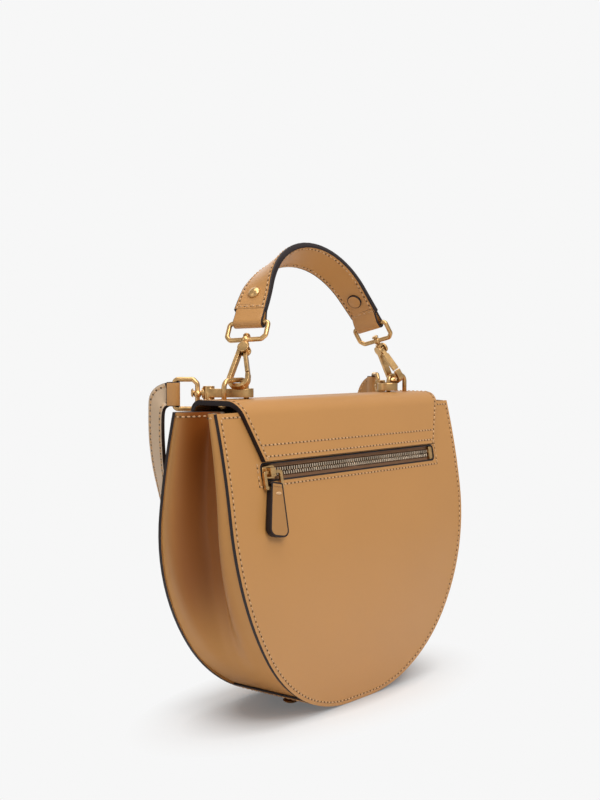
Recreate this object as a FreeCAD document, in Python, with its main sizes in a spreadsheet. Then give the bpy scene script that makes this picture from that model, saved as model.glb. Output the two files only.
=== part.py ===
import FreeCAD, Part
import math
import os

# Saddle handbag: two curved panels joined by a folded gusset, a flap over the top,
# a zip pocket in the back, a short handle and a shoulder strap on snap hooks.
# Millimetres. Z is up, +Y is the back of the bag, X runs along the bag.

V = FreeCAD.Vector
doc = FreeCAD.newDocument("saddle_handbag")
sheet = doc.addObject("Spreadsheet::Sheet", "Sizes")
names = []


def put(name, value, note):
    """Write one driving size into the sheet."""
    row = len(names) + 1
    sheet.set("A%d" % row, name)
    sheet.set("B%d" % row, str(value))
    sheet.set("C%d" % row, note)
    sheet.setAlias("B%d" % row, name)
    names.append(name)


# Body sizes
put("body_width", 220.0, "outside width of the two panels")
put("body_height", 171.4, "panel height")
put("base_flat", 20.0, "flat length at the bottom of the outline")
put("lower_radius", 92.0, "outline radius near the floor")
put("upper_radius", 135.0, "outline radius up the side")
put("bottom_half_depth", 27.2, "half depth at the floor")
put("belly_half_depth", 29.7, "half depth at mid height")
put("top_half_depth", 16.1, "half depth at the mouth")
put("panel_thickness", 2.2, "panel leather")
put("panel_skive", 1.2, "sloped cut along the top edges of the panels")
put("seat_gap", 0.1, "gap between neighbouring layers")
put("gusset_inset", 1.4, "gusset set in from the panel edge")
put("gusset_thickness", 1.6, "gusset leather")
put("gusset_fold", 15.0, "deepest inward fold of the gusset")
put("lining_thickness", 0.6, "lining cloth")
put("lining_inset", 16.0, "lining set in from the panel edge")
put("front_lining_depth", 4.0, "front lining behind the outer face")
put("back_lining_depth", 6.5, "back lining behind the outer face")
put("base_length", 73.0, "base patch length")
put("base_thickness", 1.3, "base patch leather")
put("board_length", 110.0, "base board length")
put("board_thickness", 1.5, "base board")
put("stud_spacing", 62.0, "distance between the base studs")
put("stud_radius", 4.6, "base stud")

# Flap sizes
put("flap_thickness", 2.8, "flap leather, two layers")
put("flap_gap", 0.3, "flap off the panel face")
put("flap_crest", 177.5, "top of the flap")
put("flap_round", 9.0, "bend radius at the crest edges")
put("flap_back_edge", 145.0, "height of the sewn back edge")
put("flap_back_half", 82.0, "half width at the back edge")
put("flap_crest_half", 96.0, "half width at the crest")
put("flap_hinge_height", 166.0, "height of the line the flap opens on")
put("flap_front_height", 158.0, "height where the flap starts to follow the front")
put("flap_front_thickness", 2.6, "hanging flap leather")
put("flap_split", 0.3, "gap at the hinge line")
put("flap_tip_height", 38.0, "lower edge of the hanging flap")
put("flap_tip_half", 76.0, "half width near the lower edge")
put("flap_tip_round", 55.0, "rounding of the lower corners")
put("magnet_height", 62.0, "height of the hidden magnets")
put("magnet_radius", 8.0, "hidden magnets")
put("magnet_thickness", 1.2, "hidden magnets")

# Zip sizes
put("zip_height", 139.2, "middle of the zip slot")
put("zip_slot_length", 166.4, "slot in the back panel")
put("zip_slot_height", 9.3, "slot in the back panel")
put("zip_slot_round", 2.5, "slot corners")
put("tape_thickness", 0.6, "zip tape")
put("tape_width", 9.0, "each half of the tape")
put("tooth_gap", 0.6, "half gap between the two tooth rows")
put("tooth_reach", 1.1, "free length of a tooth")
put("tooth_cord", 0.8, "bead the teeth sit on")
put("tooth_pitch", 2.0, "tooth spacing")
put("tooth_depth", 2.0, "tooth size front to back")
put("tooth_recess", 1.1, "teeth below the panel face")
put("slider_at", 77.5, "slider position when shut")
put("slider_length", 10.0, "slider body")
put("slider_width", 7.6, "slider body")
put("slider_plate", 1.2, "slider plates")
put("slider_clear", 0.3, "slider off the teeth")
put("pull_wire", 1.6, "wire of the puller bail")
put("bail_half", 5.0, "half width of the puller bail")
put("bail_drop", 8.5, "height of the puller bail")
put("pull_length", 29.0, "leather tab")
put("pull_top_width", 7.4, "leather tab")
put("pull_low_width", 13.0, "leather tab")
put("pull_thickness", 3.2, "leather tab")
put("pull_tilt", 8.0, "sideways hang of the tab")
put("pouch_depth", 84.0, "depth of the zip pocket")
put("pouch_ease", 0.9, "pocket cloth off the lining")

# Hardware sizes
put("arch_at", 77.0, "middle of each arch from the centre")
put("arch_y", -1.0, "arches along the depth")
put("arch_span", 18.0, "distance between the legs of an arch")
put("arch_bar_height", 188.0, "middle of the arch bar")
put("arch_radius", 1.4, "arch wire")
put("arch_round", 4.0, "bend of the arch corners")
put("hook_wall", 2.2, "hook in its own plane")
put("hook_band", 4.0, "hook across its plane")
put("hook_leg", 23.6, "pivot to the middle of the hook base")
put("hook_half", 6.0, "half width at the hook base")
put("hook_root", 2.2, "start of the solid leg beside the pivot")
put("hook_bend", 4.4, "bend radius of the hook")
put("hook_mouth", 15.7, "tip of the hook below the pivot")
put("hook_head", 3.2, "hook head radius")
put("head_width", 6.2, "hook head")
put("head_slot", 3.4, "slot for the gate")
put("gate_wall", 2.0, "gate in the plane of the hook")
put("gate_tip_gap", 0.5, "gate end to hook tip")
put("gate_eye", 1.9, "gate eye radius")
put("gate_eye_width", 2.8, "gate eye")
put("gate_clear", 0.3, "gate eye off its slot")
put("pin_radius", 0.75, "gate pin")
put("pin_clear", 0.05, "running fit of the gate")
put("post_radius", 1.1, "swivel post")
put("post_clear", 0.1, "post in the ring")
put("ring_offset", 6.2, "pivot to the pierced ring bar")
put("ring_depth", 11.0, "handle ring, bar to bar")
put("ring_half", 12.2, "handle ring half width")
put("ring_flare", 2.4, "sloping corners of a ring")
put("strap_ring_depth", 12.6, "ring of the shoulder strap, bar to bar")
put("strap_ring_half", 8.1, "half width of the ring of the shoulder strap")
put("ring_radius", 1.35, "ring wire")
put("ring_boss", 2.3, "boss on the pierced bar")

# Handle and strap sizes
put("strap_width", 20.0, "width of the handle strap")
put("shoulder_width", 13.0, "width of the shoulder strap")
put("strap_thickness", 2.2, "strap leather")
put("loop_gap", 0.15, "strap round the ring")
put("handle_hook_at", 74.5, "where a handle hook hangs on its bar")
put("handle_hook_lean", 28.0, "inward lean of the handle hooks")
put("handle_hook_seat", 2.9, "bar above the inside of the hook base")
put("handle_lean", 13.0, "forward lean of the whole handle")
put("handle_turn_left", 25.0, "swivel of the left hook")
put("handle_turn_right", -20.0, "swivel of the right hook")
put("handle_leg_lean", 36.0, "slope of the handle legs")
put("handle_apex", 264.0, "middle of the handle leather at the top")
put("handle_fold", 22.0, "length folded back inside")
put("rivet_at", 15.0, "rivet above the ring")
put("rivet_radius", 3.0, "rivet dome")
put("rivet_height", 1.5, "rivet dome")
put("cap_radius", 3.8, "leather disc inside the handle")
put("strap_hook_turn", 50.0, "strap hooks turned to the front")
put("strap_hook_height", 180.15, "middle of the flat strap hooks")
put("strap_hook_seat", 1.8, "arch leg above the inside of the hook base")
put("strap_ring_tilt", 0.0, "tilt of the strap rings")
put("strap_tab_length", 9.0, "folded strap end")
put("strap_drop_half", 80.0, "half distance between the hanging runs")
put("strap_bow", 18.0, "outward bow of the strap below its ring")
put("strap_front", -44.0, "hanging strap in front of the bag")
put("strap_floor_gap", 35.0, "strap above the floor")
put("strap_turn", 45.0, "bend of the hanging strap")
doc.recompute()


class Sizes:
    """Values of the sheet under their own names."""


s = Sizes()
for name in names:
    setattr(s, name, float(sheet.get(name)))


# Outline helpers, all in the plane of a sketch
def point(pair):
    return V(pair[0], pair[1], 0)


def corner(before, at, after, radius):
    """Start, middle and end of the arc that rounds one corner."""
    u = (at - before).normalize()
    w = (after - at).normalize()
    half = u.getAngle(w) / 2
    cut = radius * math.tan(half)
    inward = (w - u).normalize()
    centre = at + inward * (radius / math.cos(half))
    return at - u * cut, centre - inward * radius, at + w * cut, centre


def rounded_path(points, radii):
    """Tangent lines and arcs along an open run of points."""
    p = [point(q) for q in points]
    path = []
    start = p[0]
    for i, radius in enumerate(radii, 1):
        first, middle, last, centre = corner(p[i - 1], p[i], p[i + 1], radius)
        path.append((start, first))
        path.append((first, middle, last, centre))
        start = last
    path.append((start, p[-1]))
    return path


def shifted(path, distance):
    """The same path moved sideways, to the left for a positive distance."""
    moved = []
    for piece in path:
        if len(piece) == 2:
            run = (piece[1] - piece[0]).normalize()
            side = V(-run.y, run.x, 0) * distance
            moved.append((piece[0] + side, piece[1] + side))
        else:
            first, middle, last, centre = piece
            left = (middle - first).cross(last - middle).z > 0
            radius = (first - centre).Length
            ratio = (radius - distance if left else radius + distance) / radius
            ends = [centre + (q - centre) * ratio for q in (first, middle, last)]
            moved.append((ends[0], ends[1], ends[2], centre))
    return moved


def curves(path):
    """Sketch geometry of a path."""
    found = []
    for piece in path:
        if len(piece) == 2:
            found.append(Part.LineSegment(piece[0], piece[1]))
        else:
            found.append(Part.Arc(piece[0], piece[1], piece[2]))
    return found


def strip(path, width):
    """Closed outline of a band that follows a path."""
    left = shifted(path, width / 2)
    right = shifted(path, -width / 2)
    caps = [Part.LineSegment(left[0][0], right[0][0])]
    left_end = left[-1][1] if len(left[-1]) == 2 else left[-1][2]
    right_end = right[-1][1] if len(right[-1]) == 2 else right[-1][2]
    caps.append(Part.LineSegment(left_end, right_end))
    return curves(left) + curves(right) + caps


def rounded_loop(points, radii):
    """Closed outline with rounded corners."""
    p = [point(q) for q in points]
    found = []
    arcs = []
    for i, radius in enumerate(radii):
        arcs.append(corner(p[i - 1], p[i], p[(i + 1) % len(p)], radius))
    for i, arc in enumerate(arcs):
        found.append(Part.Arc(arc[0], arc[1], arc[2]))
        found.append(Part.LineSegment(arc[2], arcs[(i + 1) % len(arcs)][0]))
    return found


def polygon(points):
    p = [point(q) for q in points]
    return [Part.LineSegment(p[i - 1], p[i]) for i in range(len(p))]


def rectangle(x0, y0, x1, y1):
    return polygon([(x0, y0), (x1, y0), (x1, y1), (x0, y1)])


def circle(x, y, radius):
    return [Part.Circle(V(x, y, 0), V(0, 0, 1), radius)]


# Feature helpers
def new_body(label, placement=None):
    body = doc.addObject("PartDesign::Body", label)
    body.Label = label
    if placement is not None:
        body.Placement = placement
    return body


def draw(body, plane, geometry, offset=0.0):
    """Sketch on one origin plane of a body."""
    sketch = body.newObject("Sketcher::SketchObject", body.Label + "_sketch")
    support = [o for o in body.Origin.OriginFeatures if o.Role == plane][0]
    sketch.AttachmentSupport = [(support, "")]
    sketch.MapMode = "FlatFace"
    sketch.AttachmentOffset = FreeCAD.Placement(V(0, 0, offset), FreeCAD.Rotation())
    for item in geometry:
        sketch.addGeometry(item, False)
    return sketch


def pad(body, sketch, length):
    feature = body.newObject("PartDesign::Pad", body.Label + "_pad")
    feature.Profile = sketch
    feature.SideType = "Symmetric"
    feature.setExpression("Length", length)
    return feature


def cut_through(body, sketch):
    feature = body.newObject("PartDesign::Pocket", body.Label + "_cut")
    feature.Profile = sketch
    feature.SideType = "Symmetric"
    feature.Type = "ThroughAll"
    return feature


def pocket(body, sketch, length):
    feature = body.newObject("PartDesign::Pocket", body.Label + "_pocket")
    feature.Profile = sketch
    feature.SideType = "Symmetric"
    feature.setExpression("Length", length)
    return feature


def revolve(body, sketch):
    feature = body.newObject("PartDesign::Revolution", body.Label + "_turned")
    feature.Profile = sketch
    feature.ReferenceAxis = (sketch, ["V_Axis"])
    feature.Angle = 360
    return feature


def pipe(body, profile, spine):
    feature = body.newObject("PartDesign::AdditivePipe", body.Label + "_wire")
    feature.Profile = profile
    feature.Spine = spine
    return feature


def placed(position, x_axis, z_axis):
    """Placement with the given local X and Z directions."""
    z = V(z_axis).normalize()
    x = (V(x_axis) - z * z.dot(V(x_axis))).normalize()
    y = z.cross(x)
    matrix = FreeCAD.Matrix(x.x, y.x, z.x, position.x,
                            x.y, y.y, z.y, position.y,
                            x.z, y.z, z.z, position.z, 0, 0, 0, 1)
    return FreeCAD.Placement(matrix)


def compound(label, bodies):
    """One node made of several equal small bodies."""
    feature = doc.addObject("Part::Compound", label)
    feature.Label = label
    feature.Links = bodies
    return feature


nodes = []


def keep(feature):
    nodes.append(feature)
    return feature


# Panel curve seen from the side
def three_point_circle(a, b, c):
    d = 2 * (a[0] * (b[1] - c[1]) + b[0] * (c[1] - a[1]) + c[0] * (a[1] - b[1]))
    sa, sb, sc = (p[0] ** 2 + p[1] ** 2 for p in (a, b, c))
    x = (sa * (b[1] - c[1]) + sb * (c[1] - a[1]) + sc * (a[1] - b[1])) / d
    y = (sa * (c[0] - b[0]) + sb * (a[0] - c[0]) + sc * (b[0] - a[0])) / d
    return x, y, math.hypot(a[0] - x, a[1] - y)


side_y, side_z, side_radius = three_point_circle(
    (s.bottom_half_depth, 0.0),
    (s.belly_half_depth, s.body_height / 2),
    (s.top_half_depth, s.body_height))


def depth_at(z, inside=0.0):
    """Half depth at a height, measured to a layer inside the outer face."""
    radius = side_radius - inside
    return side_y + math.sqrt(radius ** 2 - (z - side_z) ** 2)


def side_arc(side, low, high, inside):
    """Arc in the side view from a low to a high point."""
    middle = (low + high) / 2
    ends = [V(side * depth_at(z, inside), z, 0) for z in (low, middle, high)]
    return Part.Arc(ends[0], ends[1], ends[2]), ends[0], ends[2]


def side_layer(side, low, high, inside, thickness):
    """Closed side view of one curved layer."""
    outer, a, b = side_arc(side, low, high, inside)
    inner, c, d = side_arc(side, low, high, inside + thickness)
    return [outer, inner, Part.LineSegment(a, c), Part.LineSegment(b, d)]


# Panel outline seen from the front
def outline_turn():
    half = s.body_width / 2
    return math.asin((s.base_flat / 2 + s.upper_radius - half) / (s.upper_radius - s.lower_radius))


def outline(inset, top):
    """Outline of the bag set in from the panel edge."""
    flat = s.base_flat / 2
    low = s.lower_radius - inset
    high = s.upper_radius - inset
    turn = outline_turn()
    reach = s.upper_radius - s.lower_radius
    centre_low = V(flat, s.lower_radius, 0)
    centre_high = V(flat - reach * math.sin(turn), s.lower_radius + reach * math.cos(turn), 0)

    def on(centre, radius, angle):
        return centre + V(math.sin(angle), -math.cos(angle), 0) * radius

    a = on(centre_low, low, 0)
    b = on(centre_low, low, turn / 2)
    c = on(centre_low, low, turn)
    d = on(centre_high, high, (turn + math.pi / 2) / 2)
    e = on(centre_high, high, math.pi / 2)
    f = V(e.x, top, 0)
    right = [a, b, c, d, e, f]
    left = [V(-p.x, p.y, 0) for p in right]
    found = [Part.LineSegment(left[0], right[0]), Part.LineSegment(left[5], right[5])]
    for p in (right, left):
        found.append(Part.Arc(p[0], p[1], p[2]))
        found.append(Part.Arc(p[2], p[3], p[4]))
        found.append(Part.LineSegment(p[4], p[5]))
    return found


def frame_outside():
    reach = s.body_width
    return rectangle(-reach, -reach, reach, 2 * reach)


def curved_panel(label, side, inside, thickness, inset, top):
    """Layer that follows the side curve, trimmed to the bag outline."""
    body = new_body(label)
    reach = 20.0
    layer = draw(body, "YZ_Plane", side_layer(side, -1.0, top + 1.0, inside, thickness))
    pad(body, layer, "Sizes.body_width + %g" % reach)
    cut_through(body, draw(body, "XZ_Plane", frame_outside() + outline(inset, top)))
    return body


# Zip frame on the back panel
zip_slope = math.atan((depth_at(s.zip_height - 1) - depth_at(s.zip_height + 1)) / 2)
zip_up = V(0, -math.sin(zip_slope), math.cos(zip_slope))
zip_out = V(0, math.cos(zip_slope), math.sin(zip_slope))


def on_zip(x, out, up):
    """Placement on the zip, local X along it, local Y outward, local Z up."""
    base = V(x, depth_at(s.zip_height), s.zip_height)
    return placed(base + zip_out * out + zip_up * up, V(1, 0, 0), zip_up)


def skive_top(body, side):
    """Slope the outer top edge of a panel, where the flap folds over it."""
    top = s.body_height
    low = top - s.panel_skive
    outer = depth_at(top) - s.panel_skive * 0.7
    wedge = [(side * depth_at(low), low), (side * outer, top), (side * outer, top + 4),
             (side * (depth_at(low) + 4), top + 4), (side * (depth_at(low) + 4), low)]
    cut_through(body, draw(body, "YZ_Plane", polygon(wedge)))


# Panels
back_panel = keep(curved_panel("back_panel", 1, 0.0, s.panel_thickness, 0.0, s.body_height))
half_slot = s.zip_slot_length / 2
low_slot = s.zip_height - s.zip_slot_height / 2
high_slot = s.zip_height + s.zip_slot_height / 2
slot_corners = [(-half_slot, low_slot), (half_slot, low_slot),
                (half_slot, high_slot), (-half_slot, high_slot)]
cut_through(back_panel, draw(back_panel, "XZ_Plane", rounded_loop(slot_corners, [s.zip_slot_round] * 4)))
front_panel = keep(curved_panel("front_panel", -1, 0.0, s.panel_thickness, 0.0, s.body_height))
skive_top(back_panel, 1)
skive_top(front_panel, -1)
lining_top = s.body_height - 1
keep(curved_panel("back_lining", 1, s.back_lining_depth, s.lining_thickness, s.lining_inset, lining_top))
keep(curved_panel("front_lining", -1, s.front_lining_depth, s.lining_thickness, s.lining_inset, lining_top))


# Gusset, a strip along the outline folded inward on its way up
def outline_station(share, inset):
    """Point and inward direction at a share of one half outline, from the middle of the base to the top."""
    flat = s.base_flat / 2
    turn = outline_turn()
    lengths = [flat, s.lower_radius * turn, s.upper_radius * (math.pi / 2 - turn)]
    reach = s.upper_radius - s.lower_radius
    centre_high = V(flat - reach * math.sin(turn), 0, s.lower_radius + reach * math.cos(turn))
    lengths.append(s.body_height - centre_high.z)
    run = share * sum(lengths)
    if run <= lengths[0]:
        return V(run, 0, inset), V(0, 0, 1)
    run -= lengths[0]
    if run <= lengths[1]:
        angle = run / s.lower_radius
        inward = V(-math.sin(angle), 0, math.cos(angle))
        return V(flat, 0, s.lower_radius) - inward * (s.lower_radius - inset), inward
    run -= lengths[1]
    if run <= lengths[2]:
        angle = turn + run / s.upper_radius
        inward = V(-math.sin(angle), 0, math.cos(angle))
        return centre_high - inward * (s.upper_radius - inset), inward
    run -= lengths[2]
    return V(s.body_width / 2 - inset, 0, centre_high.z + run), V(-1, 0, 0)


def fold_depth(share):
    """Inward fold of the gusset, none along the base and deepest below the mouth."""
    rise = min(max((share - 0.3) / 0.5, 0.0), 1.0)
    return s.gusset_fold * rise * rise * (3 - 2 * rise)


def gusset_section(share, side, layer, thickness):
    """Closed cross section of the gusset at one station."""
    base, inward = outline_station(share, s.gusset_inset + layer)
    if side < 0:
        base = V(-base.x, base.y, base.z)
        inward = V(-inward.x, inward.y, inward.z)
    edge = V(0, depth_at(base.z, s.panel_thickness + s.seat_gap), 0)
    fold = inward * (2 * fold_depth(share))
    step = inward * thickness
    outer = Part.BezierCurve()
    outer.setPoles([base - edge, base + fold, base + edge])
    inner = Part.BezierCurve()
    inner.setPoles([base - edge + step, base + fold + step, base + edge + step])
    ends = [Part.LineSegment(base + edge, base + edge + step),
            Part.LineSegment(base - edge + step, base - edge)]
    edges = [outer.toShape(), ends[0].toShape(), inner.toShape(), ends[1].toShape()]
    return Part.Wire(Part.__sortEdges__(edges))


def folded_strip(label, layer, thickness):
    shares = [i / 14 for i in range(15)]
    wires = [gusset_section(q, -1, layer, thickness) for q in reversed(shares[1:])]
    wires += [gusset_section(q, 1, layer, thickness) for q in shares]
    feature = doc.addObject("Part::Feature", label)
    feature.Label = label
    feature.Shape = Part.makeLoft(wires, True, False)
    return feature


keep(folded_strip("gusset", 0.0, s.gusset_thickness))
lining_layer = s.gusset_thickness + s.board_thickness + 2 * s.seat_gap
keep(folded_strip("gusset_lining", lining_layer, s.lining_thickness))


# Base patch, board and studs
def base_band(label, inset, thickness, length):
    """Strip that follows the bottom of the outline between the panels."""
    body = new_body(label)
    half = length / 2
    top = s.body_height
    ring = outline(inset, top) + outline(inset + thickness, top - 1)
    pad(body, draw(body, "XZ_Plane", ring), "Sizes.body_width")
    cut_through(body, draw(body, "XZ_Plane", rectangle(-2 * half - 200, 60, 2 * half + 200, 400)))
    cut_through(body, draw(body, "XZ_Plane", rectangle(half, -20, half + 300, 80)))
    cut_through(body, draw(body, "XZ_Plane", rectangle(-half - 300, -20, -half, 80)))
    inside = s.panel_thickness + s.seat_gap
    back, a, b = side_arc(1, -1.0, 90.0, inside)
    front, c, d = side_arc(-1, -1.0, 90.0, inside)
    between = [back, front, Part.LineSegment(a, c), Part.LineSegment(b, d)]
    cut_through(body, draw(body, "YZ_Plane", rectangle(-300, -50, 300, 200) + between))
    return body


base_inset = s.gusset_inset - s.base_thickness - s.seat_gap
keep(base_band("base_panel", base_inset, s.base_thickness, s.base_length))
board_inset = s.gusset_inset + s.gusset_thickness + s.seat_gap
keep(base_band("base_board", board_inset, s.board_thickness, s.board_length))

stud_half = s.stud_spacing / 2
stud_side = stud_half - s.stud_radius - s.base_flat / 2
stud_seat = s.lower_radius - math.sqrt(s.lower_radius ** 2 - stud_side ** 2)
studs = []
for side in (-1, 1):
    stud = new_body("base_stud_%s" % ("left" if side > 0 else "right"))
    stud.Placement = FreeCAD.Placement(V(side * stud_half, 0, 0), FreeCAD.Rotation())
    flat = s.stud_radius * 0.35
    shoulder = stud_seat + base_inset - 0.1
    edge = [V(0, 0, 0), V(flat, 0, 0), V(s.stud_radius, shoulder, 0), V(0, shoulder, 0)]
    bulge = V((flat + s.stud_radius) / 2 + 0.6, shoulder * 0.32, 0)
    profile = [Part.LineSegment(edge[0], edge[1]), Part.Arc(edge[1], bulge, edge[2])]
    profile += [Part.LineSegment(edge[2], edge[3]), Part.LineSegment(edge[3], edge[0])]
    revolve(stud, draw(stud, "XZ_Plane", profile))
    studs.append(stud)
keep(compound("base_studs", studs))

# Zip tape, teeth, stops and pouch
tape_length = s.zip_slot_length + 8
tooth_start = s.tooth_gap
tooth_end = s.tooth_gap + s.tooth_reach + s.tooth_cord
tape_out = -(s.panel_thickness + 2 * s.seat_gap + s.tape_thickness / 2)
for name, side in (("upper", 1), ("lower", -1)):
    tape = keep(new_body("zip_tape_" + name, on_zip(0, tape_out, 0)))
    inner_edge = side * (tooth_end + s.seat_gap / 2)
    outer_edge = side * s.tape_width
    shape = rectangle(-tape_length / 2, inner_edge, tape_length / 2, outer_edge)
    pad(tape, draw(tape, "XZ_Plane", shape), "Sizes.tape_thickness")
for name, side in (("upper", 1), ("lower", -1)):
    row = keep(new_body("zip_teeth_" + name, on_zip(0, -(s.tooth_recess + s.tooth_depth / 2), 0)))
    count = int((s.zip_slot_length - 8) / s.tooth_pitch)
    start = -count * s.tooth_pitch / 2
    comb = [(start, side * tooth_end)]
    for i in range(count):
        x = start + i * s.tooth_pitch
        wide = s.tooth_pitch * 0.62
        comb.append((x, side * (tooth_start + s.tooth_reach)))
        comb.append((x + 0.3, side * (tooth_start + s.tooth_reach)))
        comb.append((x + 0.3, side * tooth_start))
        comb.append((x + 0.3 + wide, side * tooth_start))
        comb.append((x + 0.3 + wide, side * (tooth_start + s.tooth_reach)))
    comb.append((-start, side * (tooth_start + s.tooth_reach)))
    comb.append((-start, side * tooth_end))
    pad(row, draw(row, "XZ_Plane", polygon(comb)), "Sizes.tooth_depth")
stops = []
stop_x = int((s.zip_slot_length - 8) / s.tooth_pitch) * s.tooth_pitch / 2 + 1.3
for side in (-1, 1):
    stop = new_body("zip_stop_%s" % ("left" if side > 0 else "right"))
    stop.Placement = on_zip(side * stop_x, -(s.tooth_recess + s.tooth_depth / 2), 0)
    if side < 0:
        ends = rectangle(-1.2, -tooth_end, 1.2, tooth_end)
    else:
        ends = rectangle(-1.2, 0.8, 1.2, tooth_end) + rectangle(-1.2, -tooth_end, 1.2, -0.8)
    pad(stop, draw(stop, "XZ_Plane", ends), "Sizes.tooth_depth")
    stops.append(stop)
keep(compound("zip_stops", stops))

pouch = keep(new_body("zip_pouch"))
pouch_low = s.zip_height - s.pouch_depth
sheet_half = s.tape_thickness / 2
near = s.panel_thickness + s.tape_thickness + 2 * s.seat_gap + sheet_half
far = s.back_lining_depth - s.pouch_ease - sheet_half
bend = (far - near) / 2
near_top = s.zip_height - s.tape_width * math.cos(zip_slope)
middle = (near_top + pouch_low) / 2
far_top = s.zip_height + s.tape_width
pouch_run = [(depth_at(near_top, near), near_top), (depth_at(middle, near), middle),
             (depth_at(pouch_low, near), pouch_low), (depth_at(pouch_low, far), pouch_low),
             (depth_at(middle, far), middle), (depth_at(far_top, far), far_top)]
pouch_path = rounded_path(pouch_run, [200.0, bend * 0.95, bend * 0.95, 200.0])
pad(pouch, draw(pouch, "YZ_Plane", strip(pouch_path, s.tape_thickness)), "Sizes.zip_slot_length + 6")

# Zip slider and puller
slider = keep(new_body("zip_slider", on_zip(s.slider_at, 0, 0)))
half_length = s.slider_length / 2
half_width = s.slider_width / 2
plate_corners = [(-half_length, -half_width), (half_length, -half_width * 0.8),
                 (half_length, half_width * 0.8), (-half_length, half_width)]
front_plate = -s.tooth_recess + s.slider_clear + s.slider_plate / 2
back_plate = -s.tooth_recess - s.tooth_depth - s.slider_clear - s.slider_plate / 2
plate = rounded_loop(plate_corners, [1.5] * 4)
pad(slider, draw(slider, "XZ_Plane", plate, -front_plate), "Sizes.slider_plate")
web_middle = (front_plate + back_plate) / 2
web = draw(slider, "XZ_Plane", rectangle(half_length - 3.2, -0.3, half_length - 0.6, 0.3), -web_middle)
pad(slider, web, "Sizes.tooth_depth + 2 * Sizes.slider_clear + 0.4")
pad(slider, draw(slider, "XZ_Plane", plate, -back_plate), "Sizes.slider_plate")
bail_out = front_plate + s.slider_plate / 2 + 1.35
bridge = [(front_plate, -2.6), (bail_out + 2.1, -2.6), (bail_out + 2.1, 2.0), (front_plate, 2.6)]
pad(slider, draw(slider, "YZ_Plane", polygon(bridge)), "4")
cut_through(slider, draw(slider, "YZ_Plane", circle(bail_out, -0.2, 1.3)))

bail_half = s.bail_half
bail_drop = s.bail_drop
wire = keep(new_body("zip_pull_wire", on_zip(s.slider_at, bail_out, -0.2)))
outer_bail = [(-bail_half, -bail_drop), (bail_half, -bail_drop), (bail_half, 0), (-bail_half, 0)]
grow = s.pull_wire / 2


def bail_outline(extra):
    """Bail outline moved outward by a distance."""
    moved = []
    for x, z in outer_bail:
        rise = extra if z == 0 else -extra
        moved.append((x + extra * math.copysign(1, x), z + rise))
    return moved


bail_shape = rounded_loop(bail_outline(grow), [1.4] * 4) + rounded_loop(bail_outline(-grow), [0.5] * 4)
pad(wire, draw(wire, "XZ_Plane", bail_shape), "Sizes.pull_wire")

tab_frame = on_zip(s.slider_at, bail_out, -0.2 - bail_drop)
tilt = FreeCAD.Placement(V(0, 0, 0), FreeCAD.Rotation(V(0, 1, 0), s.pull_tilt))
tab = keep(new_body("zip_pull_tab", tab_frame.multiply(tilt)))
tab_corners = [(-s.pull_low_width / 2, 2.6 - s.pull_length), (s.pull_low_width / 2, 2.6 - s.pull_length),
               (s.pull_top_width / 2, 2.6), (-s.pull_top_width / 2, 2.6)]
pad(tab, draw(tab, "XZ_Plane", rounded_loop(tab_corners, [4.0, 4.0, 1.0, 1.0])), "Sizes.pull_thickness")
wire_slot = s.pull_wire / 2 + 0.6
wire_room = [(-wire_slot, -wire_slot), (wire_slot, -wire_slot),
             (wire_slot, wire_slot), (-wire_slot, wire_slot)]
cut_through(tab, draw(tab, "YZ_Plane", rounded_loop(wire_room, [0.6] * 4)))

# Flap, a sewn strip behind and one moving piece over the crest and down the front
half_flap = s.flap_thickness / 2
away = s.flap_gap + half_flap


def flap_line(side, z):
    """Straight run of the flap beside the top of a panel."""
    low = depth_at(s.flap_back_edge) + away
    high = depth_at(s.body_height) + away
    share = (z - s.flap_back_edge) / (s.body_height - s.flap_back_edge)
    return side * (low + (high - low) * share + 0.15)


def flap_half(z):
    """Half width of the flap at a height near the crest."""
    share = (z - s.flap_back_edge) / (s.flap_crest - s.flap_back_edge)
    return s.flap_back_half + (s.flap_crest_half - s.flap_back_half) * share


def trim_flap_sides(body):
    low_z = s.flap_back_edge - 5
    high_z = s.flap_crest + 5
    if body.Label == "flap":
        low_z = s.flap_front_height
    for side in (-1, 1):
        wedge = [(side * flap_half(low_z), low_z), (side * flap_half(high_z), high_z),
                 (side * 150, high_z), (side * 150, low_z)]
        cut_through(body, draw(body, "XZ_Plane", polygon(wedge)))


def flap_point(side, z):
    return flap_line(side, z), z


split = s.flap_split / 2
flap_back = keep(new_body("flap_back"))
back_run = [flap_point(1, s.flap_back_edge), flap_point(1, s.flap_hinge_height - split)]
pad(flap_back, draw(flap_back, "YZ_Plane", strip(rounded_path(back_run, []), s.flap_thickness)),
    "2 * Sizes.flap_crest_half")
trim_flap_sides(flap_back)

flap = keep(new_body("flap"))
front_outer = flap_line(-1, s.flap_front_height) - half_flap
flap_inside = -(abs(front_outer) - depth_at(s.flap_front_height)) * math.cos(zip_slope)
front_layer = side_layer(-1, s.flap_tip_height - 2, s.flap_front_height + 2,
                         flap_inside, s.flap_front_thickness)
pad(flap, draw(flap, "YZ_Plane", front_layer), "2 * Sizes.flap_crest_half + 40")
top_half = flap_half(s.flap_front_height)
front_corners = [(-s.flap_tip_half, s.flap_tip_height), (s.flap_tip_half, s.flap_tip_height),
                 (top_half, s.flap_front_height + 2.5), (-top_half, s.flap_front_height + 2.5)]
front_shape = rounded_loop(front_corners, [s.flap_tip_round, s.flap_tip_round, 0.2, 0.2])
cut_through(flap, draw(flap, "XZ_Plane", rectangle(-250, -20, 250, 300) + front_shape))
crest_line = s.flap_crest - half_flap
crest_run = [flap_point(1, s.flap_hinge_height + split), flap_point(1, crest_line),
             flap_point(-1, crest_line), flap_point(-1, s.flap_front_height)]
crest_path = rounded_path(crest_run, [s.flap_round, s.flap_round])
pad(flap, draw(flap, "YZ_Plane", strip(crest_path, s.flap_thickness)), "2 * Sizes.flap_crest_half")
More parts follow.
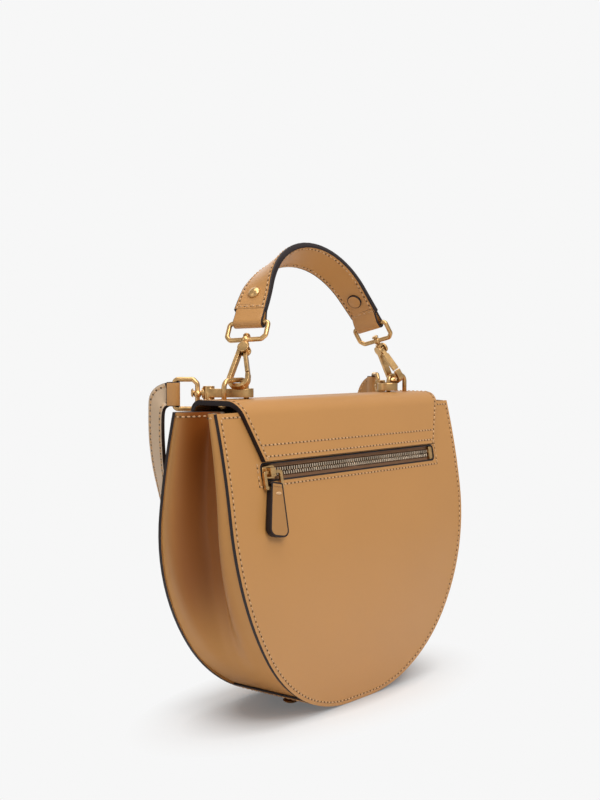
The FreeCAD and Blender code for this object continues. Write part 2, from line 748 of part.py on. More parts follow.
trim_flap_sides(flap)
leg_points = [(side * s.arch_at + leg * s.arch_span / 2) for side in (-1, 1) for leg in (-1, 1)]
leg_circles = [circle(x, s.arch_y, s.arch_radius + s.seat_gap)[0] for x in leg_points]
pocket(flap, draw(flap, "XY_Plane", leg_circles, s.flap_crest), "4 * Sizes.flap_thickness")


def magnet_frame(inside):
    """Placement on the front panel, local Z pointing out of the bag."""
    slope = math.atan((depth_at(s.magnet_height - 1) - depth_at(s.magnet_height + 1)) / 2)
    out = V(0, -math.cos(slope), math.sin(slope))
    base = V(0, -depth_at(s.magnet_height, inside), s.magnet_height)
    return placed(base, V(1, 0, 0), out)


def disc(body, kind, frame, radius, height):
    feature = body.newObject("PartDesign::" + kind, body.Label + "_disc")
    feature.Radius = radius
    feature.Height = height
    feature.Placement = frame
    return feature


flap_inner = flap_inside + s.flap_front_thickness
recess = magnet_frame(flap_inner + 0.4)
recess_depth = s.magnet_thickness + 0.4 + s.seat_gap
disc(flap, "SubtractiveCylinder", recess, s.magnet_radius + s.seat_gap, recess_depth)
flap_magnet = keep(new_body("flap_magnet"))
flap_seat = magnet_frame(flap_inner - s.seat_gap)
disc(flap_magnet, "AdditiveCylinder", flap_seat, s.magnet_radius, s.magnet_thickness)
front_magnet = keep(new_body("front_magnet"))
magnet_in = s.panel_thickness + 2 * s.seat_gap + s.magnet_thickness
disc(front_magnet, "AdditiveCylinder", magnet_frame(magnet_in), s.magnet_radius, s.magnet_thickness)

# Arches with their fixings under the flap
flap_under = s.flap_crest - s.flap_thickness
screws = []
for name, side in (("left", 1), ("right", -1)):
    base = V(side * s.arch_at, s.arch_y, 0)
    arch = keep(new_body("arch_" + name, FreeCAD.Placement(base, FreeCAD.Rotation())))
    half = s.arch_span / 2
    run = [(-half, flap_under), (-half, s.arch_bar_height), (half, s.arch_bar_height), (half, flap_under)]
    spine = draw(arch, "XZ_Plane", curves(rounded_path(run, [s.arch_round, s.arch_round])))
    profile = draw(arch, "XY_Plane", circle(-half, 0, s.arch_radius), flap_under)
    pipe(arch, profile, spine)
    for leg in (-1, 1):
        screw = new_body("arch_screw_%s_%s" % (name, "inner" if leg * side < 0 else "outer"))
        seat = base + V(leg * half, 0, flap_under - s.seat_gap)
        screw.Placement = FreeCAD.Placement(seat, FreeCAD.Rotation())
        washer = [(0, 0), (3.6, 0), (3.6, -0.8), (2.2, -0.8), (2.0, -1.8), (0, -1.8)]
        revolve(screw, draw(screw, "XZ_Plane", polygon(washer)))
        screws.append(screw)
keep(compound("arch_screws", screws))


# Snap hook with its swivel post, local Z from the hook base to the post
def snap_hook(label, frame):
    body = new_body(label, frame)
    run = [(-s.hook_root, 0), (-s.hook_half, -s.hook_leg), (s.hook_half, -s.hook_leg),
           (s.hook_half - 0.95, -s.hook_mouth)]
    path = rounded_path(run, [s.hook_bend, s.hook_bend])
    pad(body, draw(body, "XZ_Plane", strip(path, s.hook_wall)), "Sizes.hook_band")
    pad(body, draw(body, "XZ_Plane", circle(0, 0, s.hook_head)), "Sizes.head_width")
    reach = s.hook_head + 2
    clear = s.gate_eye + s.gate_clear
    pocket(body, draw(body, "XZ_Plane", rectangle(-clear, -reach, reach, clear)), "Sizes.head_slot")
    pad(body, draw(body, "XZ_Plane", circle(0, 0, s.pin_radius)), "Sizes.head_width")
    collar = s.ring_offset - s.ring_boss - 0.1
    button = s.ring_offset + s.ring_boss + 0.1
    turned = [(0, 2.4), (2.3, 2.4), (2.3, collar), (s.post_radius, collar), (s.post_radius, button),
              (2.2, button), (1.6, button + 1.1), (0, button + 1.1)]
    revolve(body, draw(body, "XZ_Plane", polygon(turned)))
    return body


def snap_gate(label, frame):
    body = new_body(label, frame)
    top = (0.4, 0.0)
    foot = (s.hook_half - 1.25, -s.hook_mouth + s.gate_tip_gap)

    def along(share):
        return top[0] + (foot[0] - top[0]) * share, top[1] + (foot[1] - top[1]) * share

    pad(body, draw(body, "XZ_Plane", strip(rounded_path([along(0.02), along(0.4)], []), s.gate_wall)),
        "Sizes.gate_eye_width")
    pad(body, draw(body, "XZ_Plane", strip(rounded_path([along(0.29), along(1)], []), s.gate_wall)),
        "Sizes.hook_band")
    pad(body, draw(body, "XZ_Plane", circle(0, 0, s.gate_eye)), "Sizes.gate_eye_width")
    cut_through(body, draw(body, "XZ_Plane", circle(0, 0, s.pin_radius + s.pin_clear)))
    return body


def strap_ring(label, frame, half, depth):
    """Ring, local Z from the pierced bar to the strap bar."""
    body = new_body(label, frame)
    shoulder = s.ring_flare
    bar_half = half - s.ring_flare
    corners = [(-bar_half, 0), (bar_half, 0), (half, shoulder), (half, depth), (-half, depth), (-half, shoulder)]
    spine = draw(body, "XZ_Plane", rounded_loop(corners, [2.0, 2.0, 1.6, 2.0, 2.0, 1.6]))
    pipe(body, draw(body, "YZ_Plane", circle(0, 0, s.ring_radius)), spine)
    boss = body.newObject("PartDesign::AdditiveSphere", label + "_boss")
    boss.setExpression("Radius", "Sizes.ring_boss")
    hole = draw(body, "XY_Plane", circle(0, 0, s.post_radius + s.post_clear))
    pocket(body, hole, "4 * Sizes.ring_boss")
    return body


# Handle, built upright and leaned forward about the arch bars
lean = FreeCAD.Placement(V(0, 0, 0), FreeCAD.Rotation(V(1, 0, 0), s.handle_lean),
                         V(0, s.arch_y, s.arch_bar_height))


def leaned(frame):
    return lean.multiply(frame)


hook_inner = s.hook_leg - s.hook_wall / 2
tilt_in = math.radians(s.handle_hook_lean)
leg_tilt = math.radians(s.handle_leg_lean)
ring_legs = {}
for name, side, turn in (("left", 1, s.handle_turn_left), ("right", -1, s.handle_turn_right)):
    up = V(-side * math.sin(tilt_in), 0, math.cos(tilt_in))
    bar = V(side * s.handle_hook_at, s.arch_y, s.arch_bar_height)
    pivot = bar + up * (hook_inner - s.handle_hook_seat)
    across = FreeCAD.Rotation(up, turn).multVec(V(0, 1, 0))
    frame = leaned(placed(pivot, across, up))
    keep(snap_hook("handle_hook_" + name, frame))
    keep(snap_gate("handle_gate_" + name, frame))
    ring_at = pivot + up * s.ring_offset
    ring_frame = leaned(placed(ring_at, V(0, 1, 0), up))
    keep(strap_ring("handle_ring_" + name, ring_frame, s.ring_half, s.ring_depth))
    ring_legs[side] = ring_at + up * s.ring_depth

loop_radius = s.ring_radius + s.loop_gap + s.strap_thickness / 2
ring_leg = ring_legs[1]
leg_up = V(-math.sin(leg_tilt), math.cos(leg_tilt), 0)
leg_out = V(math.cos(leg_tilt), math.sin(leg_tilt), 0)
leg_at = V(ring_leg.x, ring_leg.z, 0)
outer_start = leg_at + leg_out * loop_radius
peak = outer_start + leg_up * (outer_start.x / math.sin(leg_tilt))
apex_radius = (peak.y - s.handle_apex) / (1 / math.sin(leg_tilt) - 1)
inner_layer = loop_radius - s.strap_thickness - s.seat_gap
fold_end = leg_at + leg_out * inner_layer + leg_up * s.handle_fold
inner_reach = loop_radius * 1.18
inner_turn = leg_at - leg_out * inner_reach - leg_up * loop_radius
outer_turn = leg_at + leg_out * loop_radius - leg_up * loop_radius
half_run = [fold_end, inner_turn, outer_turn]
handle_run = [(p.x, p.y) for p in half_run] + [(0, peak.y)]
handle_run += [(-p.x, p.y) for p in reversed(half_run)]
turn_radius = loop_radius * 0.97
handle_radii = [turn_radius * 0.9, turn_radius, apex_radius, turn_radius, turn_radius * 0.9]
handle_seat = FreeCAD.Placement(V(0, s.arch_y, 0), FreeCAD.Rotation())
handle = keep(new_body("handle_strap", leaned(handle_seat)))
handle_path = rounded_path(handle_run, handle_radii)
pad(handle, draw(handle, "XZ_Plane", strip(handle_path, s.strap_thickness)), "Sizes.strap_width")

rivets = []
caps = []
for name, side in (("left", 1), ("right", -1)):
    out = V(side * leg_out.x, 0, leg_out.y)
    up = V(side * leg_up.x, 0, leg_up.y)
    middle = V(side * leg_at.x, s.arch_y, leg_at.y) + up * s.rivet_at
    face = middle + out * (loop_radius + s.strap_thickness / 2 + s.seat_gap / 2)
    rivet = new_body("handle_rivet_" + name, leaned(placed(face, V(0, 1, 0), out)))
    ball = (s.rivet_radius ** 2 + s.rivet_height ** 2) / (2 * s.rivet_height)
    sink = ball - s.rivet_height
    half_angle = math.asin(s.rivet_radius / ball) / 2
    shoulder = V(ball * math.sin(half_angle), ball * math.cos(half_angle) - sink, 0)
    dome = [Part.LineSegment(V(0, 0, 0), V(s.rivet_radius, 0, 0)),
            Part.Arc(V(s.rivet_radius, 0, 0), shoulder, V(0, s.rivet_height, 0)),
            Part.LineSegment(V(0, s.rivet_height, 0), V(0, 0, 0))]
    revolve(rivet, draw(rivet, "XZ_Plane", dome))
    rivets.append(rivet)
    slant = math.atan2(inner_layer + inner_reach, s.handle_fold + loop_radius)
    inward = up * math.sin(slant) - out * math.cos(slant)
    inner_line = middle + out * ((s.rivet_at + loop_radius) * math.tan(slant) - inner_reach)
    inner_face = inner_line + inward * (s.strap_thickness / 2 + s.seat_gap / 2)
    cap = new_body("handle_cap_" + name, leaned(placed(inner_face, V(0, 1, 0), inward)))
    button = [(0, 0), (s.cap_radius, 0), (s.cap_radius, 0.9), (s.cap_radius - 0.5, 1.3), (0, 1.3)]
    revolve(cap, draw(cap, "XZ_Plane", polygon(button)))
    caps.append(cap)
keep(compound("handle_rivets", rivets))
keep(compound("handle_caps", caps))

# Shoulder strap hooks lie flat on the flap round the inner legs of the arches
turn = math.radians(s.strap_hook_turn)
strap_starts = {}
for name, side in (("left", 1), ("right", -1)):
    along = V(side * math.cos(turn), -math.sin(turn), 0)
    toward_back = V(side * math.sin(turn), math.cos(turn), 0)
    leg = V(side * (s.arch_at - s.arch_span / 2), s.arch_y, s.strap_hook_height)
    pivot = leg + along * (hook_inner - s.strap_hook_seat)
    frame = placed(pivot, toward_back * -1, along)
    keep(snap_hook("strap_hook_" + name, frame))
    keep(snap_gate("strap_gate_" + name, frame))
    angle = math.radians(s.strap_ring_tilt)
    bar_up = toward_back * -math.sin(angle) + V(0, 0, math.cos(angle))
    ring_at = pivot + along * s.ring_offset
    ring_frame = placed(ring_at, bar_up, along)
    keep(strap_ring("strap_ring_" + name, ring_frame, s.strap_ring_half, s.strap_ring_depth))
    strap_starts[side] = (ring_at + along * s.strap_ring_depth, bar_up, along)


# Hanging shoulder strap, a run of rectangular sections
def strap_section(at, width, run):
    """Rectangle across the strap."""
    ahead = V(run).normalize()
    w = (V(width) - ahead * ahead.dot(V(width))).normalize()
    out = ahead.cross(w)
    a = w * (s.shoulder_width / 2)
    b = out * (s.strap_thickness / 2)
    return Part.makePolygon([at + a + b, at - a + b, at - a - b, at + a - b, at + a + b])


start, start_width, start_along = strap_starts[1]
first_run = start_along + V(0, -0.5, 0)
first_run = (first_run - start_width * first_run.dot(start_width)).normalize()
tab_start = start + first_run * (loop_radius + 0.6)
tab_end = start + first_run * (s.strap_tab_length + 1.0)
drop_x = s.strap_drop_half
front = s.strap_front
bottom = s.strap_floor_gap
bend = s.strap_turn
level = V(0, -1, 0)
hang = V(-0.5, -0.87, 0)
beside = V(-0.17, -0.98, 0)
bow = s.strap_bow
stations = [(tab_start, start_width), (tab_end, start_width),
            (V(drop_x + bow, front + 3.0, tab_end.z - 6), start_width * 0.75 + beside * 0.6),
            (V(drop_x + bow, front + 3.0, tab_end.z - 13), start_width * 0.3 + beside * 0.8),
            (V(drop_x + bow, front + 3.0, tab_end.z - 25), beside),
            (V(drop_x + bow * 0.85, front + 2.5, tab_end.z - 42), beside * 0.7 + hang * 0.3),
            (V(drop_x + bow * 0.35, front + 1.0, tab_end.z - 72), hang),
            (V(drop_x, front, bottom + bend), hang)]
for share in (0.25, 0.5, 0.75, 1.0):
    angle = share * math.pi / 2
    at = V(drop_x - bend + bend * math.cos(angle), front, bottom + bend - bend * math.sin(angle))
    stations.append((at, hang * (1 - share) ** 2 + level * (1 - (1 - share) ** 2)))
stations.append((V((drop_x - bend) / 2, front, bottom), level))
left_half = [p for p, w in stations]
left_width = [w for p, w in stations]
right_half = [V(-p.x, p.y, p.z) for p in reversed(left_half)]
right_width = [V(-w.x, w.y, w.z) for w in reversed(left_width)]
strap_points = left_half + [V(0, front, bottom)] + right_half
strap_widths = left_width + [level] + right_width
last_run = V(first_run.x, -first_run.y, -first_run.z)
sections = []
for i, at in enumerate(strap_points):
    left_over = len(strap_points) - 1 - i
    if i < 2:
        run = first_run
    elif left_over < 2:
        run = last_run
    else:
        run = strap_points[i + 1] - strap_points[i - 1]
    sections.append(strap_section(at, strap_widths[i], run))
shoulder = keep(doc.addObject("Part::Feature", "shoulder_strap"))
shoulder.Label = "shoulder_strap"
shoulder.Shape = Part.makeLoft(sections, True, True)


def on_side(side, p):
    """The same point on the left or the right of the bag."""
    return V(side * p.x, p.y, p.z)


for name, side in (("left", 1), ("right", -1)):
    at = on_side(side, start)
    width = on_side(side, start_width)
    run = on_side(side, first_run)
    tab_loop = s.ring_radius + s.loop_gap + 0.8
    tab_piece = keep(new_body("strap_tab_" + name, placed(at, run.cross(width), run)))
    run_points = [(tab_loop, s.strap_tab_length), (tab_loop, -tab_loop), (-tab_loop, -tab_loop),
                  (-tab_loop, s.strap_tab_length)]
    tab_path = rounded_path(run_points, [tab_loop * 0.97, tab_loop * 0.97])
    pad(tab_piece, draw(tab_piece, "XZ_Plane", strip(tab_path, 1.4)), "Sizes.shoulder_width")

# Checks and files
doc.recompute()
for item in doc.Objects:
    if "Invalid" in item.State or "Error" in item.State:
        raise RuntimeError("%s did not build: %s" % (item.Label, item.State))
os.makedirs("parts", exist_ok=True)
for node in nodes:
    shape = node.Shape
    if shape.isNull() or not shape.isValid() or not shape.Solids:
        raise RuntimeError("%s has no valid solid" % node.Label)
    shape.exportStep(os.path.join("parts", node.Label + ".step"))
    box = shape.BoundBox
    print("%-22s vol %9.1f  x %7.1f %7.1f  y %7.1f %7.1f  z %7.1f %7.1f" % (
        node.Label, shape.Volume, box.XMin, box.XMax, box.YMin, box.YMax, box.ZMin, box.ZMax))
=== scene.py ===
import math

import bpy
from mathutils import Matrix, Vector


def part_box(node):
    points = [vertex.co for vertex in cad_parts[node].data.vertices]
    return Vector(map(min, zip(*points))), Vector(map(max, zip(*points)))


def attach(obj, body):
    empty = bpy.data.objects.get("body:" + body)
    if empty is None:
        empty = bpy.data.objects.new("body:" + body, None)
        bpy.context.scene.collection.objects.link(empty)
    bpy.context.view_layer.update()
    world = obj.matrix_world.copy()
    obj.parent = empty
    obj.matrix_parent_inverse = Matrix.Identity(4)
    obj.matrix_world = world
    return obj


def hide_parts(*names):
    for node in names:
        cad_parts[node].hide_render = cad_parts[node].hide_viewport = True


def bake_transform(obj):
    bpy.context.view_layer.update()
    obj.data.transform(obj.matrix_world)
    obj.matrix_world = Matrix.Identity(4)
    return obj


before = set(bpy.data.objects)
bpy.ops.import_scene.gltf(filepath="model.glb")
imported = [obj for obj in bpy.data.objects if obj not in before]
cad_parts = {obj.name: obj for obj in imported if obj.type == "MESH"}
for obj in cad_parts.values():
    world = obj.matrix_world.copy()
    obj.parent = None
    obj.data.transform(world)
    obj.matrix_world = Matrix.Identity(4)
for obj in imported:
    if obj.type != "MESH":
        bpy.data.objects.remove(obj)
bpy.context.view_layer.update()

bl_info = {
    "name": "Saddle handbag",
    "version": (1, 0, 0),
    "blender": (4, 5, 0),
    "location": "View3D > Sidebar > Handbag",
    "description": "Leather, stitching, zip and hardware of a saddle handbag",
    "category": "Add Mesh",
}

MM = 0.001
PANEL_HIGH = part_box("back_panel")[1] * 1000
ZIP_BRASS = (0.74, 0.46, 0.20)
ZIP_METAL = (0.78, 0.62, 0.46)
BOARD_BROWN = (0.20, 0.15, 0.11)
PLATED_GREY = (0.55, 0.55, 0.56)


# Sizes and colours
class HandbagSizes(bpy.types.PropertyGroup):
    """Sizes that a maker would change."""

    panel: bpy.props.FloatProperty(
        name="Panel leather", description="Thickness of the two panels",
        default=2.2 * MM, min=0.5 * MM, max=5 * MM, unit="LENGTH")
    flap: bpy.props.FloatProperty(
        name="Flap leather", description="Thickness of the flap",
        default=2.8 * MM, min=0.5 * MM, max=5 * MM, unit="LENGTH")
    gusset: bpy.props.FloatProperty(
        name="Gusset leather", description="Thickness of the side strip",
        default=1.6 * MM, min=0.5 * MM, max=5 * MM, unit="LENGTH")
    strap: bpy.props.FloatProperty(
        name="Strap leather", description="Thickness of the shoulder strap",
        default=2.2 * MM, min=0.5 * MM, max=5 * MM, unit="LENGTH")
    strap_width: bpy.props.FloatProperty(
        name="Handle width", description="Width of the handle strap",
        default=20 * MM, min=5 * MM, max=40 * MM, unit="LENGTH")
    shoulder_width: bpy.props.FloatProperty(
        name="Shoulder strap width", description="Width of the shoulder strap",
        default=13 * MM, min=5 * MM, max=40 * MM, unit="LENGTH")
    edge_round: bpy.props.FloatProperty(
        name="Edge rounding", description="Rounding of painted edges",
        default=0.5 * MM, min=0.05 * MM, max=2 * MM, unit="LENGTH")
    stitch_inset: bpy.props.FloatProperty(
        name="Stitch inset", description="Distance of a seam from its edge",
        default=2.4 * MM, min=1 * MM, max=8 * MM, unit="LENGTH")
    stitch_pitch: bpy.props.FloatProperty(
        name="Stitch pitch", description="Length of one stitch with its gap",
        default=3.2 * MM, min=1 * MM, max=6 * MM, unit="LENGTH")
    tooth_pitch: bpy.props.FloatProperty(
        name="Zip pitch", description="Distance between the teeth of one row",
        default=2.0 * MM, min=0.5 * MM, max=5 * MM, unit="LENGTH")


class HandbagFinish(bpy.types.PropertyGroup):
    """Colours that a maker would change."""

    leather: bpy.props.FloatVectorProperty(
        name="Leather", description="Colour of the smooth tan leather", subtype="COLOR",
        default=(0.475, 0.228, 0.068), min=0, max=1)
    flesh: bpy.props.FloatVectorProperty(
        name="Strap underside", description="Pale underside of the shoulder strap", subtype="COLOR",
        default=(0.56, 0.40, 0.26), min=0, max=1)
    edge: bpy.props.FloatVectorProperty(
        name="Edge paint", description="Dark paint on cut edges", subtype="COLOR",
        default=(0.013, 0.008, 0.008), min=0, max=1)
    thread: bpy.props.FloatVectorProperty(
        name="Thread", description="Topstitching", subtype="COLOR",
        default=(0.62, 0.37, 0.18), min=0, max=1)
    brass: bpy.props.FloatVectorProperty(
        name="Brass", description="Antique brass hardware", subtype="COLOR",
        default=(0.61, 0.375, 0.16), min=0, max=1)
    tape: bpy.props.FloatVectorProperty(
        name="Zip tape", description="Woven zip tape", subtype="COLOR",
        default=(0.30, 0.145, 0.066), min=0, max=1)
    lining: bpy.props.FloatVectorProperty(
        name="Lining", description="Lining cloth", subtype="COLOR",
        default=(0.42, 0.30, 0.19), min=0, max=1)
    background: bpy.props.FloatVectorProperty(
        name="Background", description="Pale studio background", subtype="COLOR",
        default=(0.93, 0.93, 0.93), min=0, max=1)


def sizes():
    """Sizes as they are set now."""
    return bpy.context.scene.handbag_sizes


def finish_colours():
    """Colours as they are set now."""
    return bpy.context.scene.handbag_finish


# Shader maths
class Value:
    """A shader socket that takes part in arithmetic."""

    def __init__(self, paint, socket):
        self.paint = paint
        self.socket = socket

    def math(self, operation, first, second):
        """Result of one Math node."""
        node = self.paint.node("ShaderNodeMath", {"operation": operation}, {0: first, 1: second})
        return Value(self.paint, node.outputs[0])

    def __add__(self, other):
        return self.math("ADD", self, other)

    __radd__ = __add__

    def __mul__(self, other):
        return self.math("MULTIPLY", self, other)

    __rmul__ = __mul__

    def __sub__(self, other):
        return self.math("SUBTRACT", self, other)

    def __rsub__(self, other):
        return self.math("SUBTRACT", other, self)

    def clamped(self):
        """The value kept between 0 and 1."""
        return self.math("MINIMUM", self.math("MAXIMUM", self, 0.0), 1.0)


class Paint:
    """One node material, or the studio world, under construction."""

    def __init__(self, name, world=False):
        self.owner = bpy.data.worlds.new(name) if world else bpy.data.materials.new(name)
        self.owner.use_nodes = True
        self.tree = self.owner.node_tree
        self.tree.nodes.clear()
        self.output = self.node("ShaderNodeOutputWorld" if world else "ShaderNodeOutputMaterial")

    def node(self, kind, settings=None, inputs=None):
        """Any node, with its settings made first and then its sockets."""
        made = self.tree.nodes.new(kind)
        for name, value in (settings or {}).items():
            if name == "stops":
                for place, colour in value:
                    stop = made.color_ramp.elements.new(place)
                    stop.color = colour
                made.color_ramp.elements.remove(made.color_ramp.elements[0])
                made.color_ramp.elements.remove(made.color_ramp.elements[-1])
            else:
                setattr(made, name, value)
        for name, value in (inputs or {}).items():
            socket = made.inputs[name]
            if isinstance(value, Value):
                self.tree.links.new(value.socket, socket)
            elif isinstance(value, bpy.types.NodeSocket):
                self.tree.links.new(value, socket)
            else:
                socket.default_value = value
        return made

    def place(self, scale=(1, 1, 1), turn=(0, 0, 0)):
        """Object coordinates, stretched and turned."""
        source = self.node("ShaderNodeTexCoord").outputs["Object"]
        mapping = self.node("ShaderNodeMapping", None, {
            "Vector": source, "Scale": scale, "Rotation": turn})
        return mapping.outputs["Vector"]

    def noise(self, scale, detail=2.0, roughness=0.5, vector=None):
        """Cloudy value, on plain object coordinates unless others are given."""
        node = self.node("ShaderNodeTexNoise", None, {
            "Vector": vector or self.place(), "Scale": scale, "Detail": detail, "Roughness": roughness})
        return Value(self, node.outputs[0])

    def cells(self, scale):
        """Distance from the middle of small cells."""
        node = self.node("ShaderNodeTexVoronoi", {"feature": "F1"}, {
            "Vector": self.place(), "Scale": scale})
        return Value(self, node.outputs["Distance"])

    def wave(self, scale, direction, distortion):
        """Even bands across one direction."""
        node = self.node("ShaderNodeTexWave", {"bands_direction": direction}, {
            "Vector": self.place(), "Scale": scale, "Distortion": distortion})
        return Value(self, node.outputs["Fac"])

    def mix(self, share, first, second):
        """Colour between two colours."""
        node = self.node("ShaderNodeMix", {"data_type": "RGBA"}, {0: share, 6: first, 7: second})
        return node.outputs[2]

    def bump(self, height, strength, distance):
        """Surface direction tilted by a height."""
        node = self.node("ShaderNodeBump", None, {
            "Height": height, "Strength": strength, "Distance": distance})
        return node.outputs["Normal"]

    def surface(self, **inputs):
        """Principled surface, linked to the output."""
        names = {key.replace("_", " ").title().replace("Ior", "IOR"): value for key, value in inputs.items()}
        return self.show(self.node("ShaderNodeBsdfPrincipled", None, names))

    def between(self, share, first, second):
        """Shader between two shaders."""
        return self.node("ShaderNodeMixShader", None, {
            0: share, 1: first.outputs[0], 2: second.outputs[0]})

    def show(self, shader):
        """Link a shader to the output and give the finished material or world."""
        self.tree.links.new(shader.outputs[0], self.output.inputs["Surface"])
        return self.owner


def shade(colour, amount):
    """The same colour, lighter or darker, with full opacity."""
    return tuple(min(c * amount, 1.0) for c in colour) + (1.0,)


def smooth_leather(name, colour):
    """Finished smooth leather with a very fine grain and slow changes of tone."""
    paint = Paint(name)
    clouds = paint.noise(14.0, 3.0)
    pores = paint.cells(1500.0)
    creases = paint.noise(420.0, 3.0, 0.6)
    fine = paint.noise(2600.0, 1.0)
    tone = (clouds * 0.75 + creases * 0.25).clamped()
    base = paint.mix(tone, shade(colour, 0.93), shade(colour, 1.07))
    grain = pores * 0.55 + creases * 0.3 + fine * 0.15
    return paint.surface(
        base_color=base, roughness=(0.36 + clouds * 0.10 + fine * 0.05),
        specular_ior_level=0.42, coat_weight=0.06, coat_roughness=0.35,
        normal=paint.bump(grain, 0.16, 0.00012))


def folded_leather(name, colour):
    """The same leather with painted shade, darker towards the bottom of the gusset's dip."""
    paint = Paint(name)
    clouds = paint.noise(14.0, 3.0)
    creases = paint.noise(420.0, 3.0, 0.6)
    pores = paint.cells(1500.0)
    # Painted shade: how far each point is darkened, read from the mesh, and the dark colour it is darkened
    # to.
    depth = Value(paint, paint.node("ShaderNodeAttribute", {"attribute_name": "fold"}).outputs["Fac"])
    base = paint.mix((clouds * 0.75 + creases * 0.25).clamped(), shade(colour, 0.93), shade(colour, 1.07))
    deep = (colour[0] * 0.43, colour[1] * 0.235, colour[2] * 0.10, 1.0)
    return paint.surface(
        base_color=paint.mix(depth.clamped(), base, deep), roughness=(0.38 + clouds * 0.12),
        specular_ior_level=0.2,
        normal=paint.bump(pores * 0.6 + creases * 0.4, 0.16, 0.00012))


def edge_paint(name, colour):
    """Thick dark paint on cut leather edges."""
    paint = Paint(name)
    runs = paint.noise(260.0, 3.0)
    base = paint.mix(runs, shade(colour, 0.75), shade(colour, 1.7))
    return paint.surface(
        base_color=base, roughness=0.42 + runs * 0.2, specular_ior_level=0.25,
        normal=paint.bump(runs, 0.25, 0.0002))


def sewing_thread(name, colour):
    """Waxed thread with a twist."""
    paint = Paint(name)
    twist = paint.wave(900.0, "DIAGONAL", 1.0)
    wear = paint.noise(700.0, 2.0)
    base = paint.mix(wear, shade(colour, 0.72), shade(colour, 1.12))
    return paint.surface(
        base_color=base, roughness=0.5 + wear * 0.2, normal=paint.bump(twist, 0.5, 0.0002))


def needle_hole_painted_shade(name, colour):
    """Flat dark disc, painted shade in the pinch where the thread goes down."""
    paint = Paint(name)
    depth = paint.noise(900.0, 2.0)
    base = paint.mix(depth, shade(colour, 0.10), shade(colour, 0.26))
    return paint.surface(base_color=base, roughness=0.7 + depth * 0.1)


def antique_brass(name, colour, gloss=0.30):
    """Brushed brass with a brown patina in patches."""
    paint = Paint(name)
    brushed = paint.noise(500.0, 2.0, 0.6, paint.place((1.0, 1.0, 14.0), (0.5, 0.3, 0.0)))
    patina = paint.noise(120.0, 4.0, 0.65)
    tone = (patina * 2.2 - 0.6).clamped()
    base = paint.mix(tone, shade(colour, 0.58), shade(colour, 1.2))
    return paint.surface(
        base_color=base, metallic=1.0, roughness=(gloss - 0.07 + brushed * 0.14 + patina * 0.06),
        normal=paint.bump(brushed, 0.10, 0.0001))


def woven(name, colour, threads):
    """Plain weave of fine threads."""
    paint = Paint(name)
    warp = paint.wave(threads, "X", 0.3)
    weft = paint.wave(threads, "Z", 0.3)
    fuzz = paint.noise(900.0, 3.0)
    weave = warp * 0.5 + weft * 0.5
    base = paint.mix((weave * 0.7 + fuzz * 0.3).clamped(), shade(colour, 0.62), shade(colour, 1.22))
    return paint.surface(
        base_color=base, roughness=0.82 + fuzz * 0.1, sheen_weight=0.15,
        normal=paint.bump(weave, 0.4, 0.0002))


def pressed_board(name, colour):
    """Fibre board under the base."""
    paint = Paint(name)
    fibres = paint.noise(600.0, 4.0, 0.7)
    base = paint.mix(fibres, shade(colour, 0.6), shade(colour, 1.2))
    return paint.surface(
        base_color=base, roughness=0.8 + fibres * 0.1, normal=paint.bump(fibres, 0.3, 0.0002))


def plated_steel(name, colour):
    """Plated magnet disc."""
    paint = Paint(name)
    turning = paint.noise(300.0, 2.0)
    base = paint.mix(turning, shade(colour, 0.8), shade(colour, 1.1))
    return paint.surface(base_color=base, metallic=1.0, roughness=0.25 + turning * 0.15)


FINISHES = {}


def finishes():
    """All materials of the bag, made once."""
    if not FINISHES:
        colour = finish_colours()
        FINISHES["leather"] = smooth_leather("tan_leather", colour.leather)
        FINISHES["pull"] = smooth_leather("pull_leather", shade(colour.leather, 0.78)[:3])
        # Leather with painted shade, for the gusset.
        FINISHES["fold"] = folded_leather("folded_leather", colour.leather)
        FINISHES["flesh"] = smooth_leather("strap_underside", colour.flesh)
        FINISHES["edge"] = edge_paint("edge_paint", colour.edge)
        FINISHES["thread"] = sewing_thread("thread", colour.thread)
        FINISHES["hole"] = needle_hole_painted_shade("needle_hole_painted_shade", colour.leather)
        FINISHES["brass"] = antique_brass("antique_brass", colour.brass)
        FINISHES["bright"] = antique_brass("zip_brass", ZIP_BRASS, 0.26)
        FINISHES["teeth"] = antique_brass("zip_metal", ZIP_METAL, 0.22)
        FINISHES["tape"] = woven("zip_tape", colour.tape, 700.0)
        FINISHES["lining"] = woven("lining_cloth", colour.lining, 420.0)
        # Painted shade: the pouch cloth is made dark so the gaps between the zip teeth read as shade.
        FINISHES["pouch"] = woven("pouch_cloth_painted_shade", shade(colour.tape, 0.3)[:3], 420.0)
        FINISHES["board"] = pressed_board("base_board", BOARD_BROWN)
        FINISHES["steel"] = plated_steel("magnet", PLATED_GREY)
    return FINISHES


# Mesh helpers
def deselect():
    """Leave edit mode with nothing selected."""
    if bpy.context.object and bpy.context.object.mode != "OBJECT":
        bpy.ops.object.mode_set(mode="OBJECT")
    bpy.ops.object.select_all(action="DESELECT")


def choose(obj):
    """Select one piece alone and make it active."""
    deselect()
    obj.select_set(True)
    bpy.context.view_layer.objects.active = obj


def dress(obj, *names):
    """Material slots of a piece, in order."""
    obj.data.materials.clear()
    for name in names:
        obj.data.materials.append(finishes()[name])


def lattice(name, rows):
    """Grid primitive whose points are moved to the given rows, in millimetres."""
    deselect()
    bpy.ops.mesh.primitive_grid_add(
        x_subdivisions=len(rows[0]) - 1, y_subdivisions=len(rows) - 1, size=1.0)
    obj = bpy.context.object
    obj.name = name
    obj.data.name = name
    places = [c * MM for row in rows for p in row for c in p]
    obj.data.vertices.foreach_set("co", places)
    obj.data.update()
    return obj


